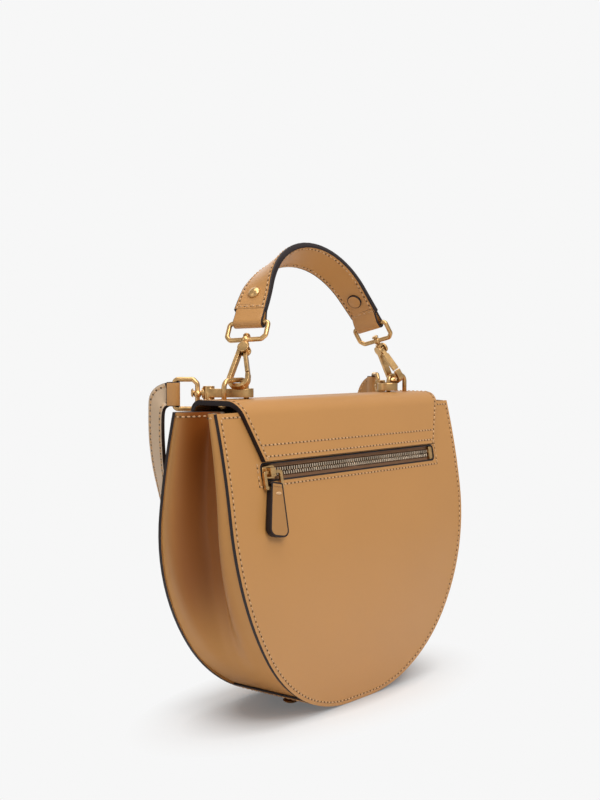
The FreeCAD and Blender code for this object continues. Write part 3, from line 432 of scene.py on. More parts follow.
def apply_modifier(obj, kind, **settings):
    """Add a modifier to a piece and apply it."""
    choose(obj)
    bpy.ops.object.modifier_add(type=kind)
    modifier = obj.modifiers[-1]
    for key, value in settings.items():
        setattr(modifier, key, value)
    bpy.ops.object.modifier_apply(modifier=modifier.name)


def thicken(obj, thickness, offset):
    """Give a sheet its thickness, with the second material on the rim."""
    apply_modifier(obj, "SOLIDIFY", thickness=thickness, offset=offset,
                   use_even_offset=True, material_offset_rim=1)


def round_edges(obj, width, segments=3, angle=50.0, material=-1):
    """Bevel every edge that is sharper than an angle."""
    apply_modifier(obj, "BEVEL", width=width, segments=segments, limit_method="ANGLE",
                   angle_limit=math.radians(angle), material=material, harden_normals=False)


def soft_shading(obj, angle=32.0):
    """Smooth shading that keeps edges sharper than an angle."""
    choose(obj)
    bpy.ops.object.shade_smooth_by_angle(angle=math.radians(angle))


def merge(obj, distance=0.00001):
    """Join points that lie on each other."""
    choose(obj)
    bpy.ops.object.mode_set(mode="EDIT")
    bpy.ops.mesh.select_all(action="SELECT")
    bpy.ops.mesh.remove_doubles(threshold=distance)
    bpy.ops.object.mode_set(mode="OBJECT")


def fix_place(obj):
    """Move a piece's place, turn and scale into its mesh."""
    choose(obj)
    bpy.ops.object.transform_apply(location=True, rotation=True, scale=True)


def reshape(obj, change, centre):
    """Turn, stretch or shift a piece about a point, in metres."""
    at = Matrix.Translation(centre)
    obj.matrix_world = at @ change @ at.inverted()
    fix_place(obj)


def pick(obj, kind, test):
    """Select only the edges or faces of a piece that pass a test, and open it for editing."""
    choose(obj)
    bpy.ops.object.mode_set(mode="EDIT")
    bpy.ops.mesh.select_mode(type=kind)
    bpy.ops.mesh.select_all(action="DESELECT")
    bpy.ops.object.mode_set(mode="OBJECT")
    for item in obj.data.edges if kind == "EDGE" else obj.data.polygons:
        item.select = test(item)
    bpy.ops.object.mode_set(mode="EDIT")


def join(pieces, name):
    """Make several pieces one, under a name."""
    choose(pieces[0])
    for piece in pieces[1:]:
        piece.select_set(True)
    bpy.ops.object.join()
    pieces[0].name = name
    return pieces[0]


def link(name, mesh):
    """New object for a mesh."""
    obj = bpy.data.objects.new(name, mesh)
    bpy.context.scene.collection.objects.link(obj)
    return obj


def pattern(obj):
    """Points and faces of a shape that is modelled once, which is then cleared away."""
    shape = [v.co.copy() for v in obj.data.vertices], [tuple(p.vertices) for p in obj.data.polygons]
    bpy.data.objects.remove(obj)
    return shape


def lay(shape, turn, origin, places, faces):
    """Add one copy of a pattern in its place, given in millimetres."""
    first = len(places)
    places.extend((turn @ p + origin) * MM for p in shape[0])
    faces.extend(tuple(first + i for i in face) for face in shape[1])


def from_copies(name, places, faces):
    """One piece of all the copies that were laid."""
    mesh = bpy.data.meshes.new(name)
    mesh.from_pydata(places, [], faces)
    return link(name, mesh)


def settle(obj, body, slot, *nodes):
    """Say which body a piece rides on and what it stands for; the finish slot is not used."""
    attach(obj, body)
    if nodes:
        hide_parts(*nodes)
    return obj


def copy_node(node, name):
    """Own merged copy of a CAD node."""
    obj = link(name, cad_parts[node].data.copy())
    merge(obj)
    return obj


def machined(node, body, finish, slot, bevel=0.15, angle=35.0):
    """Metal piece with its sharp edges broken."""
    obj = copy_node(node, node + "_finished")
    dress(obj, finish)
    if bevel:
        round_edges(obj, bevel * MM, 2, angle)
    soft_shading(obj, 40.0)
    return settle(obj, body, slot, node)


def cast(node, body, finish, slot, voxel=0.28, passes=3):
    """Cast metal piece with flowing corners."""
    obj = copy_node(node, node + "_finished")
    obj.data.remesh_voxel_size = voxel * MM
    obj.data.remesh_voxel_adaptivity = 0.0
    choose(obj)
    bpy.ops.object.voxel_remesh()
    apply_modifier(obj, "SMOOTH", factor=0.5, iterations=passes)
    dress(obj, finish)
    choose(obj)
    bpy.ops.object.shade_smooth()
    return settle(obj, body, slot, node)


# Curves of the bag, in millimetres
def step(low, high, x):
    """Smooth change from 0 to 1 between two values."""
    share = min(max((x - low) / (high - low), 0.0), 1.0)
    return share * share * (3 - 2 * share)


def spread(a, b, count):
    """Evenly spaced values with both ends."""
    return [a + (b - a) * i / (count - 1) for i in range(count)]


def course(points, i):
    """Direction along a run of points at one of them."""
    return points[min(i + 1, len(points) - 1)] - points[max(i - 1, 0)]


def squared(points, acrosses):
    """Width directions made square to a run of points."""
    found = []
    for i, across in enumerate(acrosses):
        run = course(points, i).normalized()
        found.append((across - run * across.dot(run)).normalized())
    return found


def circle_through(a, b, c):
    """Centre and radius of the circle through three points in a plane."""
    d = 2 * (a[0] * (b[1] - c[1]) + b[0] * (c[1] - a[1]) + c[0] * (a[1] - b[1]))
    sa, sb, sc = (p[0] ** 2 + p[1] ** 2 for p in (a, b, c))
    x = (sa * (b[1] - c[1]) + sb * (c[1] - a[1]) + sc * (a[1] - b[1])) / d
    y = (sa * (c[0] - b[0]) + sb * (a[0] - c[0]) + sc * (b[0] - a[0])) / d
    return x, y, math.hypot(a[0] - x, a[1] - y)


HEIGHT = PANEL_HIGH.z
HALF_WIDTH = PANEL_HIGH.x
BASE_HALF = 10.0
LOWER_RADIUS = 92.0
UPPER_RADIUS = 135.0
SIDE_Y, SIDE_Z, SIDE_RADIUS = circle_through((27.2, 0.0), (29.7, HEIGHT / 2), (16.1, HEIGHT))
TURN = math.asin((BASE_HALF + UPPER_RADIUS - HALF_WIDTH) / (UPPER_RADIUS - LOWER_RADIUS))
REACH = UPPER_RADIUS - LOWER_RADIUS
HIGH_CENTRE = (BASE_HALF - REACH * math.sin(TURN), LOWER_RADIUS + REACH * math.cos(TURN))


def depth_at(z, inside=0.0):
    """Half depth of the bag at a height, to a layer inside the outer face."""
    return SIDE_Y + math.sqrt((SIDE_RADIUS - inside) ** 2 - (z - SIDE_Z) ** 2)


def face_normal(z, side):
    """Outward direction of a panel at a height."""
    slope = (z - SIDE_Z) / SIDE_RADIUS
    return Vector((0.0, side * math.sqrt(1 - slope * slope), slope))


def half_outline(inset):
    """Points of the outline from the top of one side to the middle of the base, with inward directions."""
    found = []
    for z in spread(HEIGHT, HIGH_CENTRE[1], 10)[:-1]:
        found.append((HALF_WIDTH - inset, z, (-1.0, 0.0)))
    for angle in spread(math.pi / 2, TURN, 13)[:-1]:
        out = (math.sin(angle), -math.cos(angle))
        radius = UPPER_RADIUS - inset
        found.append((HIGH_CENTRE[0] + out[0] * radius, HIGH_CENTRE[1] + out[1] * radius, (-out[0], -out[1])))
    for angle in spread(TURN, 0.0, 23):
        out = (math.sin(angle), -math.cos(angle))
        radius = LOWER_RADIUS - inset
        found.append((BASE_HALF + out[0] * radius, LOWER_RADIUS + out[1] * radius, (-out[0], -out[1])))
    for x in spread(BASE_HALF, 0.0, 4)[1:]:
        found.append((x, inset, (0.0, 1.0)))
    return found


def whole_outline(inset):
    """Outline from the top of one side round the base to the top of the other."""
    left = half_outline(inset)
    right = [(-x, z, (-n[0], n[1])) for x, z, n in reversed(left[:-1])]
    return left + right


# Stitching
STITCH = {}
THREAD_SIZE = (0.42, 0.50, 0.98)
THREAD_LIFT = 0.10
HOLE_RADIUS = 0.6
HOLE_LIFT = 0.035


def stitch_parts():
    """One stitch and one needle hole, modelled once."""
    if STITCH:
        return STITCH
    deselect()
    bpy.ops.mesh.primitive_uv_sphere_add(segments=6, ring_count=5, radius=1.0, rotation=(0, math.pi / 2, 0))
    thread = bpy.context.object
    thread.scale = THREAD_SIZE
    fix_place(thread)
    STITCH["thread"] = pattern(thread)
    deselect()
    bpy.ops.mesh.primitive_circle_add(vertices=8, radius=HOLE_RADIUS, fill_type="NGON")
    STITCH["hole"] = pattern(bpy.context.object)
    return STITCH


def walk(points, normals, pitch):
    """Places at even steps along a run of points, with tangent and normal."""
    lengths = [0.0]
    for a, b in zip(points, points[1:]):
        lengths.append(lengths[-1] + (b - a).length)
    count = max(int(lengths[-1] / pitch), 1)
    at = 0
    for i in range(count):
        run = (i + 0.5) * lengths[-1] / count
        while lengths[at + 1] < run:
            at += 1
        share = (run - lengths[at]) / max(lengths[at + 1] - lengths[at], 1e-9)
        place = points[at].lerp(points[at + 1], share)
        normal = normals[at].lerp(normals[at + 1], share).normalized()
        tangent = (points[at + 1] - points[at]).normalized()
        yield place, tangent, normal


def sew(name, seams):
    """Thread and needle holes along several seams, each a run of points with normals, in millimetres."""
    parts = stitch_parts()
    places, faces, kinds = [], [], []

    def add(kind, origin, tangent, normal):
        side = normal.cross(tangent).normalized()
        lay(parts[kind], Matrix((tangent, side, normal)).transposed(), origin, places, faces)
        kinds.extend([0 if kind == "thread" else 1] * len(parts[kind][1]))

    pitch = sizes().stitch_pitch / MM
    for points, normals in seams:
        for place, tangent, normal in walk(points, normals, pitch):
            add("thread", place + normal * THREAD_LIFT, tangent, normal)
            # Painted shade: a dark disc at each needle hole.
            add("hole", place + tangent * (pitch / 2) + normal * HOLE_LIFT, tangent, normal)
    obj = from_copies(name, places, faces)
    dress(obj, "thread", "hole")
    obj.data.polygons.foreach_set("material_index", kinds)
    choose(obj)
    bpy.ops.object.shade_smooth()
    return obj


# Panels
RING_INSETS = (0.0, 1.2, 3.0, 6.0, 12.0, 20.0, 30.0, 42.0, 54.0, 66.0, 78.0, 91.0)


def panel_depth(z, inset, side):
    """Outer face of a panel, a little fuller in the belly."""
    full = 0.9 * step(2.0, 45.0, inset) * (1 - step(85.0, 122.0, z)) * step(0.0, 30.0, z)
    return side * (depth_at(z) + full)


def panel_sheet(name, side):
    """Outer face of a panel as rings that follow its outline."""
    rows = []
    for inset in RING_INSETS:
        rows.append([(x, panel_depth(z, inset, side), z) for x, z, _ in whole_outline(inset)])
    rows.append([(0.0, panel_depth(z, RING_INSETS[-1] + 1, side), z)
                 for _, z, _ in whole_outline(RING_INSETS[-1])])
    if side < 0:
        rows = [list(reversed(row)) for row in rows]
    obj = lattice(name, rows)
    merge(obj)
    return obj


def panel_seam(inset, side):
    """Topstitch along the edge of a panel, and along its top."""
    top = HEIGHT - inset
    outline = [(x, min(z, top)) for x, z, _ in whole_outline(inset)]
    points = [Vector((x, panel_depth(z, inset, side), z)) for x, z in outline]
    normals = [face_normal(p.z, side) for p in points]
    reach = HALF_WIDTH - inset
    rim = [Vector((x, panel_depth(top, inset, side), top)) for x in spread(reach, -reach, 9)]
    return [(points, normals), (rim, [face_normal(top, side)] * len(rim))]


ZIP_HEIGHT = 139.2
SLOT_HALF = 83.2
SLOT_RISE = 4.65
SLOT_ROUND = 2.5
RIM_HALF_HEIGHT = 0.5
RIM_HALF_WIDTH = 0.55
RIM_SUNK = 0.2


def slot_cutter():
    """Rounded bar that cuts the zip slot."""
    deselect()
    bpy.ops.mesh.primitive_cube_add(size=1.0, location=(0, depth_at(ZIP_HEIGHT) * MM, ZIP_HEIGHT * MM))
    cutter = bpy.context.object
    cutter.scale = (2 * SLOT_HALF * MM, 0.03, 2 * SLOT_RISE * MM)
    fix_place(cutter)

    def runs_through(edge):
        a, b = (cutter.data.vertices[i].co for i in edge.vertices)
        return abs(a.x - b.x) < 1e-6 and abs(a.z - b.z) < 1e-6

    pick(cutter, "EDGE", runs_through)
    bpy.ops.mesh.bevel(offset=SLOT_ROUND * MM, segments=5, affect="EDGES")
    bpy.ops.object.mode_set(mode="OBJECT")
    dress(cutter, "leather", "edge")
    cutter.data.polygons.foreach_set("material_index", [1] * len(cutter.data.polygons))
    return cutter


def zip_seam():
    """Stitch run round the zip slot, open under the flap."""
    away = 2.6
    half = SLOT_HALF + away
    low = ZIP_HEIGHT - SLOT_RISE - away
    high = ZIP_HEIGHT + SLOT_RISE + 1.0
    run = [(half, high), (half, low)]
    run += [(x, low) for x in spread(half, -half, 12)]
    run += [(-half, high)]
    points = [Vector((x, depth_at(z), z)) for x, z in run]
    return points, [face_normal(p.z, 1) for p in points]


def slot_rim():
    """Rounded bead of edge paint round the zip slot."""
    path = []
    for x, up, turn in ((1, 1, 0.0), (-1, 1, 0.5), (-1, -1, 1.0), (1, -1, 1.5)):
        for share in spread(0.0, 0.5, 7):
            angle = math.pi * (turn + share)
            path.append((x * (SLOT_HALF - SLOT_ROUND) + SLOT_ROUND * math.cos(angle),
                         up * (SLOT_RISE - SLOT_ROUND) + SLOT_ROUND * math.sin(angle)))
    path.append(path[0])
    rows = []
    for i, (x, up) in enumerate(path):
        ahead, behind = path[(i + 1) % (len(path) - 1)], path[i - 1 if i else -2]
        run = Vector((ahead[0] - behind[0], 0, ahead[1] - behind[1])).normalized()
        z = ZIP_HEIGHT + up
        out = face_normal(z, 1)
        side = run.cross(out).normalized()
        centre = Vector((x, depth_at(z), z)) - out * RIM_SUNK
        rows.append([centre + out * (RIM_HALF_HEIGHT * math.sin(a)) + side * (RIM_HALF_WIDTH * math.cos(a))
                     for a in spread(0.0, 2 * math.pi, 11)])
    rim = lattice("zip_slot_rim", rows)
    merge(rim)
    dress(rim, "edge")
    soft_shading(rim, 60.0)
    return rim


class HANDBAG_OT_panels(bpy.types.Operator):
    """Back and front panels with painted edges and topstitching"""

    bl_idname = "handbag.panels"
    bl_label = "Panels"

    def execute(self, context):
        s = sizes()
        inset = s.stitch_inset / MM
        back = panel_sheet("back_leather", 1)
        front = panel_sheet("front_leather", -1)
        for obj in (back, front):
            dress(obj, "leather", "edge")
            thicken(obj, s.panel, -1.0)
            round_edges(obj, s.edge_round * 1.7, 4, 50.0, 1)
        cutter = slot_cutter()
        apply_modifier(back, "BOOLEAN", operation="DIFFERENCE", object=cutter, solver="EXACT")
        bpy.data.objects.remove(cutter)
        for obj in (back, front):
            soft_shading(obj)
        settle(slot_rim(), "bag", "tan_leather")
        settle(back, "bag", "tan_leather", "back_panel")
        settle(front, "bag", "tan_leather", "front_panel")
        settle(sew("back_topstitch", panel_seam(inset, 1) + [zip_seam()]), "bag", "tan_leather")
        settle(sew("front_topstitch", panel_seam(inset, -1)), "bag", "tan_leather")
        return {"FINISHED"}


# Gusset, base and linings
GUSSET_INSET = 1.4
GUSSET_FOLD = 15.0


def gusset_rows(inset, across):
    """Rows of the folded side strip, set in from the panel edge."""
    outline = whole_outline(inset)
    lengths = [0.0]
    for a, b in zip(outline, outline[1:]):
        lengths.append(lengths[-1] + math.hypot(a[0] - b[0], a[1] - b[1]))
    half = lengths[-1] / 2
    rows = []
    for (x, z, inward), run in zip(outline, lengths):
        share = abs(run - half) / half
        deep = step(0.32, 0.68, share)
        ridge = 0.56 + 0.16 * step(0.45, 0.85, share)
        edge = depth_at(z, 2.3)
        row = []
        for v in across:
            dip = GUSSET_FOLD * deep * (1 - step(ridge - 0.46, ridge, abs(v)))
            swell = math.exp(-((abs(v) - ridge - 0.08) / 0.13) ** 2) * deep
            dip -= 0.9 * swell + 0.95 * step(0.26, 0.4, share)
            row.append((x + inward[0] * dip, edge * v, z + inward[1] * dip))
        rows.append(row)
    return rows


def fold_tone(rows, across):
    """Strength of the painted shade at each point, from 0 to 1: more where the strip dips deeper and near its
    top, most across its middle.
    """
    tones = []
    for i, row in enumerate(rows):
        first = Vector(row[0])
        middle = Vector(row[len(row) // 2])
        high = step(0.7, 1.0, abs(2 * i / (len(rows) - 1) - 1))
        deep = step(0.0, GUSSET_FOLD, (middle - first).xz.length) * (0.8 + 0.2 * high)
        tones += [deep * (1 - (step(0.3, 0.92, v) if v > 0 else step(0.45, 1.0, -v))) for v in across]
    return tones


class HANDBAG_OT_gusset(bpy.types.Operator):
    """Folded side strip with its stitched top edge"""

    bl_idname = "handbag.gusset"
    bl_label = "Gusset"

    def execute(self, context):
        s = sizes()
        across = spread(1.0, -1.0, 49)
        rows = gusset_rows(GUSSET_INSET, across)
        obj = lattice("gusset_leather", rows)
        # Painted shade: the darkening of each point is stored on the mesh for the leather colour.
        tone = obj.data.attributes.new("fold", "FLOAT", "POINT")
        tone.data.foreach_set("value", fold_tone(rows, across))
        dress(obj, "fold", "edge")
        thicken(obj, s.gusset, -1.0)
        for polygon in obj.data.polygons:
            if abs(polygon.normal.y) > 0.7:
                polygon.material_index = 0
        round_edges(obj, s.edge_round * 0.6, 2, 55.0)
        soft_shading(obj)
        settle(obj, "bag", "tan_leather", "gusset")
        rows = gusset_rows(GUSSET_INSET, spread(0.94, -0.94, 41))
        seams = []
        for side in (1, -1):
            first, second = (rows[0], rows[1]) if side > 0 else (rows[-1], rows[-2])
            share = (s.stitch_inset / MM) / (HEIGHT - second[0][2])
            points = [Vector(a).lerp(Vector(b), share) for a, b in zip(first, second)]
            normals = []
            for i in range(len(points)):
                normal = course(points, i).cross(Vector((0, 0, 1)))
                normals.append(normal.normalized() * (1 if normal.x * side > 0 else -1))
            seams.append((points, normals))
        settle(sew("gusset_topstitch", seams), "bag", "tan_leather")
        return {"FINISHED"}


def band_rows(inset, half_length, half_width_in):
    """Rows of a strip that follows the bottom of the outline."""
    rows = []
    for x in spread(half_length, -half_length, 37):
        beyond = max(abs(x) - BASE_HALF, 0.0)
        radius = LOWER_RADIUS - inset
        z = LOWER_RADIUS - math.sqrt(radius * radius - beyond * beyond)
        edge = depth_at(max(z, 0.0), half_width_in)
        rows.append([(x, edge * v, z) for v in spread(1.0, -1.0, 9)])
    return rows


BASE_REACH = 52.0
BASE_THICK = 1.3
BASE_SEAM = 2.6
BASE_SEAM_HALF = 22.0
CLOTH_THICK = 0.6


class HANDBAG_OT_base(bpy.types.Operator):
    """Base patch, studs and board"""

    bl_idname = "handbag.base"
    bl_label = "Base"

    def execute(self, context):
        patch = lattice("base_leather", band_rows(0.0, BASE_REACH, 2.35))
        dress(patch, "leather", "edge")
        thicken(patch, BASE_THICK * MM, -1.0)
        round_edges(patch, 0.4 * MM, 3, 50.0, 1)
        soft_shading(patch)
        settle(patch, "bag", "tan_leather", "base_panel")
        seams = []
        seam = BASE_REACH - BASE_SEAM
        for side in (1, -1):
            x = side * seam
            z = LOWER_RADIUS - math.sqrt(LOWER_RADIUS ** 2 - (seam - BASE_HALF) ** 2)
            down = Vector((x - side * BASE_HALF, 0, z - LOWER_RADIUS)).normalized()
            points = [Vector((x, y, z)) for y in spread(-BASE_SEAM_HALF, BASE_SEAM_HALF, 9)]
            seams.append((points, [down] * len(points)))
        settle(sew("base_topstitch", seams), "bag", "tan_leather")
        machined("base_studs", "bag", "brass", "antique_brass", 0.2)
        dress_node("base_board", "board")
        return {"FINISHED"}


def dress_node(node, finish):
    """Finish of a CAD node that stays."""
    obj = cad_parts[node]
    slots = obj.material_slots
    if not slots:
        obj.data.materials.append(finishes()[finish])
    for slot in slots:
        slot.material = finishes()[finish]


class HANDBAG_OT_linings(bpy.types.Operator):
    """Lining cloth and the zip pouch"""

    bl_idname = "handbag.linings"
    bl_label = "Linings"

    def execute(self, context):
        for name, side, inside in (("back", 1, 6.5), ("front", -1, 4.0)):
            rows = []
            for z in spread(HEIGHT - 1, 14.0, 30):
                reach = lining_reach(z)
                rows.append([(x, side * (depth_at(z, inside) - cloth_sag(x, z)), z)
                             for x in spread(reach, -reach, 31)])
            obj = lattice(name + "_lining_cloth", rows)
            dress(obj, "lining", "lining")
            thicken(obj, CLOTH_THICK * MM, 0.0)
            soft_shading(obj)
            settle(obj, "bag", "lining", name + "_lining")
        rows = gusset_rows(GUSSET_INSET + 3.4, spread(0.93, -0.93, 35))
        side_cloth = lattice("gusset_lining_cloth", rows)
        dress(side_cloth, "lining", "lining")
        thicken(side_cloth, CLOTH_THICK * MM, -1.0)
        soft_shading(side_cloth)
        settle(side_cloth, "bag", "lining", "gusset_lining")
        pouch = copy_node("zip_pouch", "zip_pouch_cloth_painted_shade")
        # The pouch gets the darkened cloth, painted shade behind the zip teeth.
        dress(pouch, "pouch")
        round_edges(pouch, 0.15 * MM, 2, 50.0)
        soft_shading(pouch, 40.0)
        settle(pouch, "bag", "lining", "zip_pouch")
        dress_node("front_magnet", "steel")
        return {"FINISHED"}


def lining_reach(z):
    """Half width of a lining panel at a height."""
    inset = 12.0
    if z >= HIGH_CENTRE[1]:
        return HALF_WIDTH - inset
    radius = UPPER_RADIUS - inset
    split = HIGH_CENTRE[1] - radius * math.cos(TURN)
    if z >= split:
        return HIGH_CENTRE[0] + math.sqrt(radius ** 2 - (HIGH_CENTRE[1] - z) ** 2)
    radius = LOWER_RADIUS - inset
    return BASE_HALF + math.sqrt(max(radius ** 2 - (LOWER_RADIUS - z) ** 2, 0.0))


def cloth_sag(x, z):
    """Loose waves of the lining towards the inside."""
    inner = step(0.0, 30.0, HEIGHT - 4 - z) * step(0.0, 25.0, z - 20.0)
    return inner * 0.35 * (1 + math.sin(x * 0.11 + z * 0.05) * math.sin(z * 0.09))


# Flap
FLAP_BACK_EDGE = 145.0
FLAP_CREST = 177.5
FLAP_HALF_THICK = 1.4
FLAP_FRONT = 158.0
FLAP_TIP = 38.0
FLAP_TIP_ROUND = 55.0
FLAP_TIP_FLAT = 26.0
FLAP_ARC_TOP = 87.8
FLAP_UPPER_SEAM = 153.4


def flap_line(z):
    """Distance of the flap's middle layer from the middle of the bag beside a panel top."""
    away = 0.3 + FLAP_HALF_THICK
    low = depth_at(FLAP_BACK_EDGE) + away
    high = depth_at(HEIGHT) + away
    return low + (high - low) * (z - FLAP_BACK_EDGE) / (HEIGHT - FLAP_BACK_EDGE) + 0.15


def flap_half(z):
    """Half width of the flap on its back and over the crest."""
    return 82.0 + 14.0 * (z - FLAP_BACK_EDGE) / (FLAP_CREST - FLAP_BACK_EDGE)


def front_half(z, inset=0.0):
    """Half width of the hanging front, set in from its edge."""
    if z >= FLAP_ARC_TOP:
        top = flap_half(FLAP_FRONT)
        return 76.0 + (top - 76.0) * (z - FLAP_TIP) / (FLAP_FRONT + 2.5 - FLAP_TIP) - inset
    centre = FLAP_TIP + FLAP_TIP_ROUND
    radius = FLAP_TIP_ROUND - inset
    return FLAP_TIP_FLAT + math.sqrt(max(radius ** 2 - (centre - z) ** 2, 0.0))


def front_depth(z):
    """Middle layer of the hanging front."""
    top = depth_at(FLAP_FRONT)
    gap = flap_line(FLAP_FRONT) - top
    return depth_at(z) + gap + 0.2 * step(120.0, 60.0, z) if z < FLAP_FRONT else flap_line(z)


def rounded(before, at, after, radius, count):
    """Points of the arc that rounds one corner in a plane."""
    a = (Vector(before) - Vector(at)).normalized()
    b = (Vector(after) - Vector(at)).normalized()
    half = a.angle(b) / 2
    centre = Vector(at) + (a + b).normalized() * (radius / math.sin(half))
    first = Vector(at) + a * (radius / math.tan(half))
    last = Vector(at) + b * (radius / math.tan(half))
    found = []
    for share in spread(0.0, 1.0, count):
        arm = (first - centre).lerp(last - centre, share).normalized() * radius
        found.append(centre + arm)
    return found


def flap_profile():
    """Middle line of the flap from its sewn back edge over the crest to the tip, with half widths."""
    crest = FLAP_CREST - FLAP_HALF_THICK
    edge = flap_line(crest)
    found = [(flap_line(z), z) for z in spread(FLAP_BACK_EDGE, 165.0, 9)]
    back = (flap_line(150.0), 150.0)
    front = (-flap_line(FLAP_FRONT), FLAP_FRONT)
    found += [tuple(p) for p in rounded(back, (edge, crest), (-edge, crest), 9.0, 9)]
    found += [(y, crest) for y in spread(6.5, -6.5, 6)]
    found += [tuple(p) for p in rounded((edge, crest), (-edge, crest), front, 9.0, 9)]
    rows = [(y, z, flap_half(z)) for y, z in found]
    rows += [(-front_depth(z), z, front_half(z)) for z in spread(162.0, FLAP_ARC_TOP + 1, 14)]
    for angle in spread(math.radians(84.0), 0.0, 22):
        z = FLAP_TIP + FLAP_TIP_ROUND * (1 - math.cos(angle))
        rows.append((-front_depth(z), z, front_half(z)))
    return rows


def profile_normals(rows):
    """Outward directions along the flap's profile."""
    found = []
    for i in range(len(rows)):
        a = rows[max(i - 1, 0)]
        b = rows[min(i + 1, len(rows) - 1)]
        run = Vector((0.0, b[0] - a[0], b[1] - a[1])).normalized()
        found.append(Vector((0.0, run.z, -run.y)))
    return found


def flap_seams(inset):
    """Edge seam of the flap and the two rows that hold it to the back panel."""
    rows = flap_profile()
    normals = profile_normals(rows)
    lift = FLAP_HALF_THICK
    sides = []
    for (y, z, half), normal in zip(rows, normals):
        if y < 0 and z < FLAP_FRONT:
            if z < FLAP_TIP + inset:
                continue
            half = front_half(z, inset)
        else:
            half = half - inset
        sides.append((Vector((half, y, z)) + normal * lift, normal))
    low = FLAP_TIP + inset
    tip_normal = normals[-1]
    tip = [Vector((x, -front_depth(low), low)) + tip_normal * lift
           for x in spread(FLAP_TIP_FLAT, -FLAP_TIP_FLAT, 9)]
    left = [p for p, n in sides]
    edge = left + tip + [Vector((-p.x, p.y, p.z)) for p in reversed(left)]
    turned = [n for p, n in sides]
    directions = turned + [tip_normal] * len(tip) + list(reversed(turned))
    seams = [(edge, directions)]
    for z in (FLAP_BACK_EDGE + inset, FLAP_UPPER_SEAM):
        half = flap_half(z) - inset
        points = [Vector((x, flap_line(z), z)) + normals[0] * lift for x in spread(half, -half, 9)]
        seams.append((points, [normals[0]] * len(points)))
    return seams


class HANDBAG_OT_flap(bpy.types.Operator):
    """Flap from its sewn back edge over the crest and down the front"""

    bl_idname = "handbag.flap"
    bl_label = "Flap"

    def execute(self, context):
        s = sizes()
        rows = [[(half * u, y, z) for u in spread(1.0, -1.0, 29)] for y, z, half in flap_profile()]
        obj = lattice("flap_leather", rows)
        dress(obj, "leather", "edge")
        thicken(obj, s.flap, 0.0)
        round_edges(obj, s.edge_round * 2.2, 4, 50.0, 1)
        soft_shading(obj)
        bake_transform(obj)
        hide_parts("flap", "flap_back")
        seam = sew("flap_topstitch", flap_seams(s.stitch_inset / MM))
        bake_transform(seam)
        dress_node("flap_magnet", "steel")
        return {"FINISHED"}


# Straps
def ribbon(name, points, widths, width, thickness, edge_round, columns=7):
    """Flat strap along points, with the given width directions."""
    half = width / 2
    rows = []
    for point, across in zip(points, widths):
        rows.append([point + across * (half * v) for v in spread(1.0, -1.0, columns)])
    obj = lattice(name, rows)
    dress(obj, "leather", "edge")
    thicken(obj, thickness * MM, 0.0)
    round_edges(obj, edge_round * MM, 3, 50.0, 1)
    soft_shading(obj)
    return obj


def ribbon_normals(points, widths):
    """Directions that the first face of a strap looks to."""
    return [course(points, i).cross(across).normalized() for i, across in enumerate(widths)]


def ribbon_seams(points, widths, width, thickness, inset):
    """Two seams along each face of a strap."""
    normals = ribbon_normals(points, widths)
    seams = []
    for face in (1, -1):
        facing = [n * face for n in normals]
        for side in (1, -1):
            line = [p + w * (side * (width / 2 - inset)) + n * (thickness / 2)
                    for p, w, n in zip(points, widths, facing)]
            seams.append((line, facing))
    return seams


ARCH_Y = -1.0
ARCH_BAR = 188.0
LEAN = Matrix.Translation((0, ARCH_Y, ARCH_BAR)) @ Matrix.Rotation(math.radians(13.0), 4, "X") \
    @ Matrix.Translation((0, -ARCH_Y, -ARCH_BAR))
RING_WIRE = 1.35
RING_BAR = Vector((57.22, 220.49))
LEG_LEAN = math.radians(36.0)
HANDLE_APEX = 263.4
HANDLE_GAP = 7.0
HANDLE_THICK = 3.6
HANDLE_OUT = 1.9
HANDLE_TURN = math.radians(17.0)
HANDLE_SEAM = 2.2
HANDLE_TAB_THICK = 1.6
RIVET_STATION = 6
RIVET_RADIUS = 3.7
RIVET_RISE = 2.1
DISC_RADIUS = 4.6
DISC_THICK = 2.0


def handle_line():
    """Middle line of the handle in its own upright plane, from left to right."""
    up = Vector((-math.sin(LEG_LEAN), math.cos(LEG_LEAN)))
    out = Vector((math.cos(LEG_LEAN), math.sin(LEG_LEAN)))
    start = RING_BAR + up * HANDLE_GAP + out * HANDLE_OUT
    peak = start.y + start.x / math.tan(LEG_LEAN)
    radius = (peak - HANDLE_APEX) / (1 / math.sin(LEG_LEAN) - 1)
    arc = rounded(tuple(start), (0.0, peak), (-start.x, start.y), radius, 31)
    straight = [start.lerp(arc[0], share) for share in spread(0.0, 1.0, 9)[:-1]]
    left = straight + arc
    right = [Vector((-p.x, p.y)) for p in reversed(straight)]
    return left + right


def handle_across(share):
    """Width direction of the strap from the left ring over the top to the right ring."""
    rise = math.sin(math.pi * share)
    tip = math.radians(4.0 + 9.0 * step(0.55, 1.0, share) + 32.0 * rise ** 1.5)
    turn = HANDLE_TURN * (1 - step(0.05, 0.5, share))
    return Vector((-math.sin(turn), math.cos(turn) * math.cos(tip), math.sin(tip)))


def handle_run():
    """Middle points of the leaned handle and its width directions."""
    line = [LEAN @ Vector((p.x, ARCH_Y, p.y)) for p in handle_line()]
    acrosses = [handle_across(i / (len(line) - 1)) for i in range(len(line))]
    return line, squared(line, acrosses)


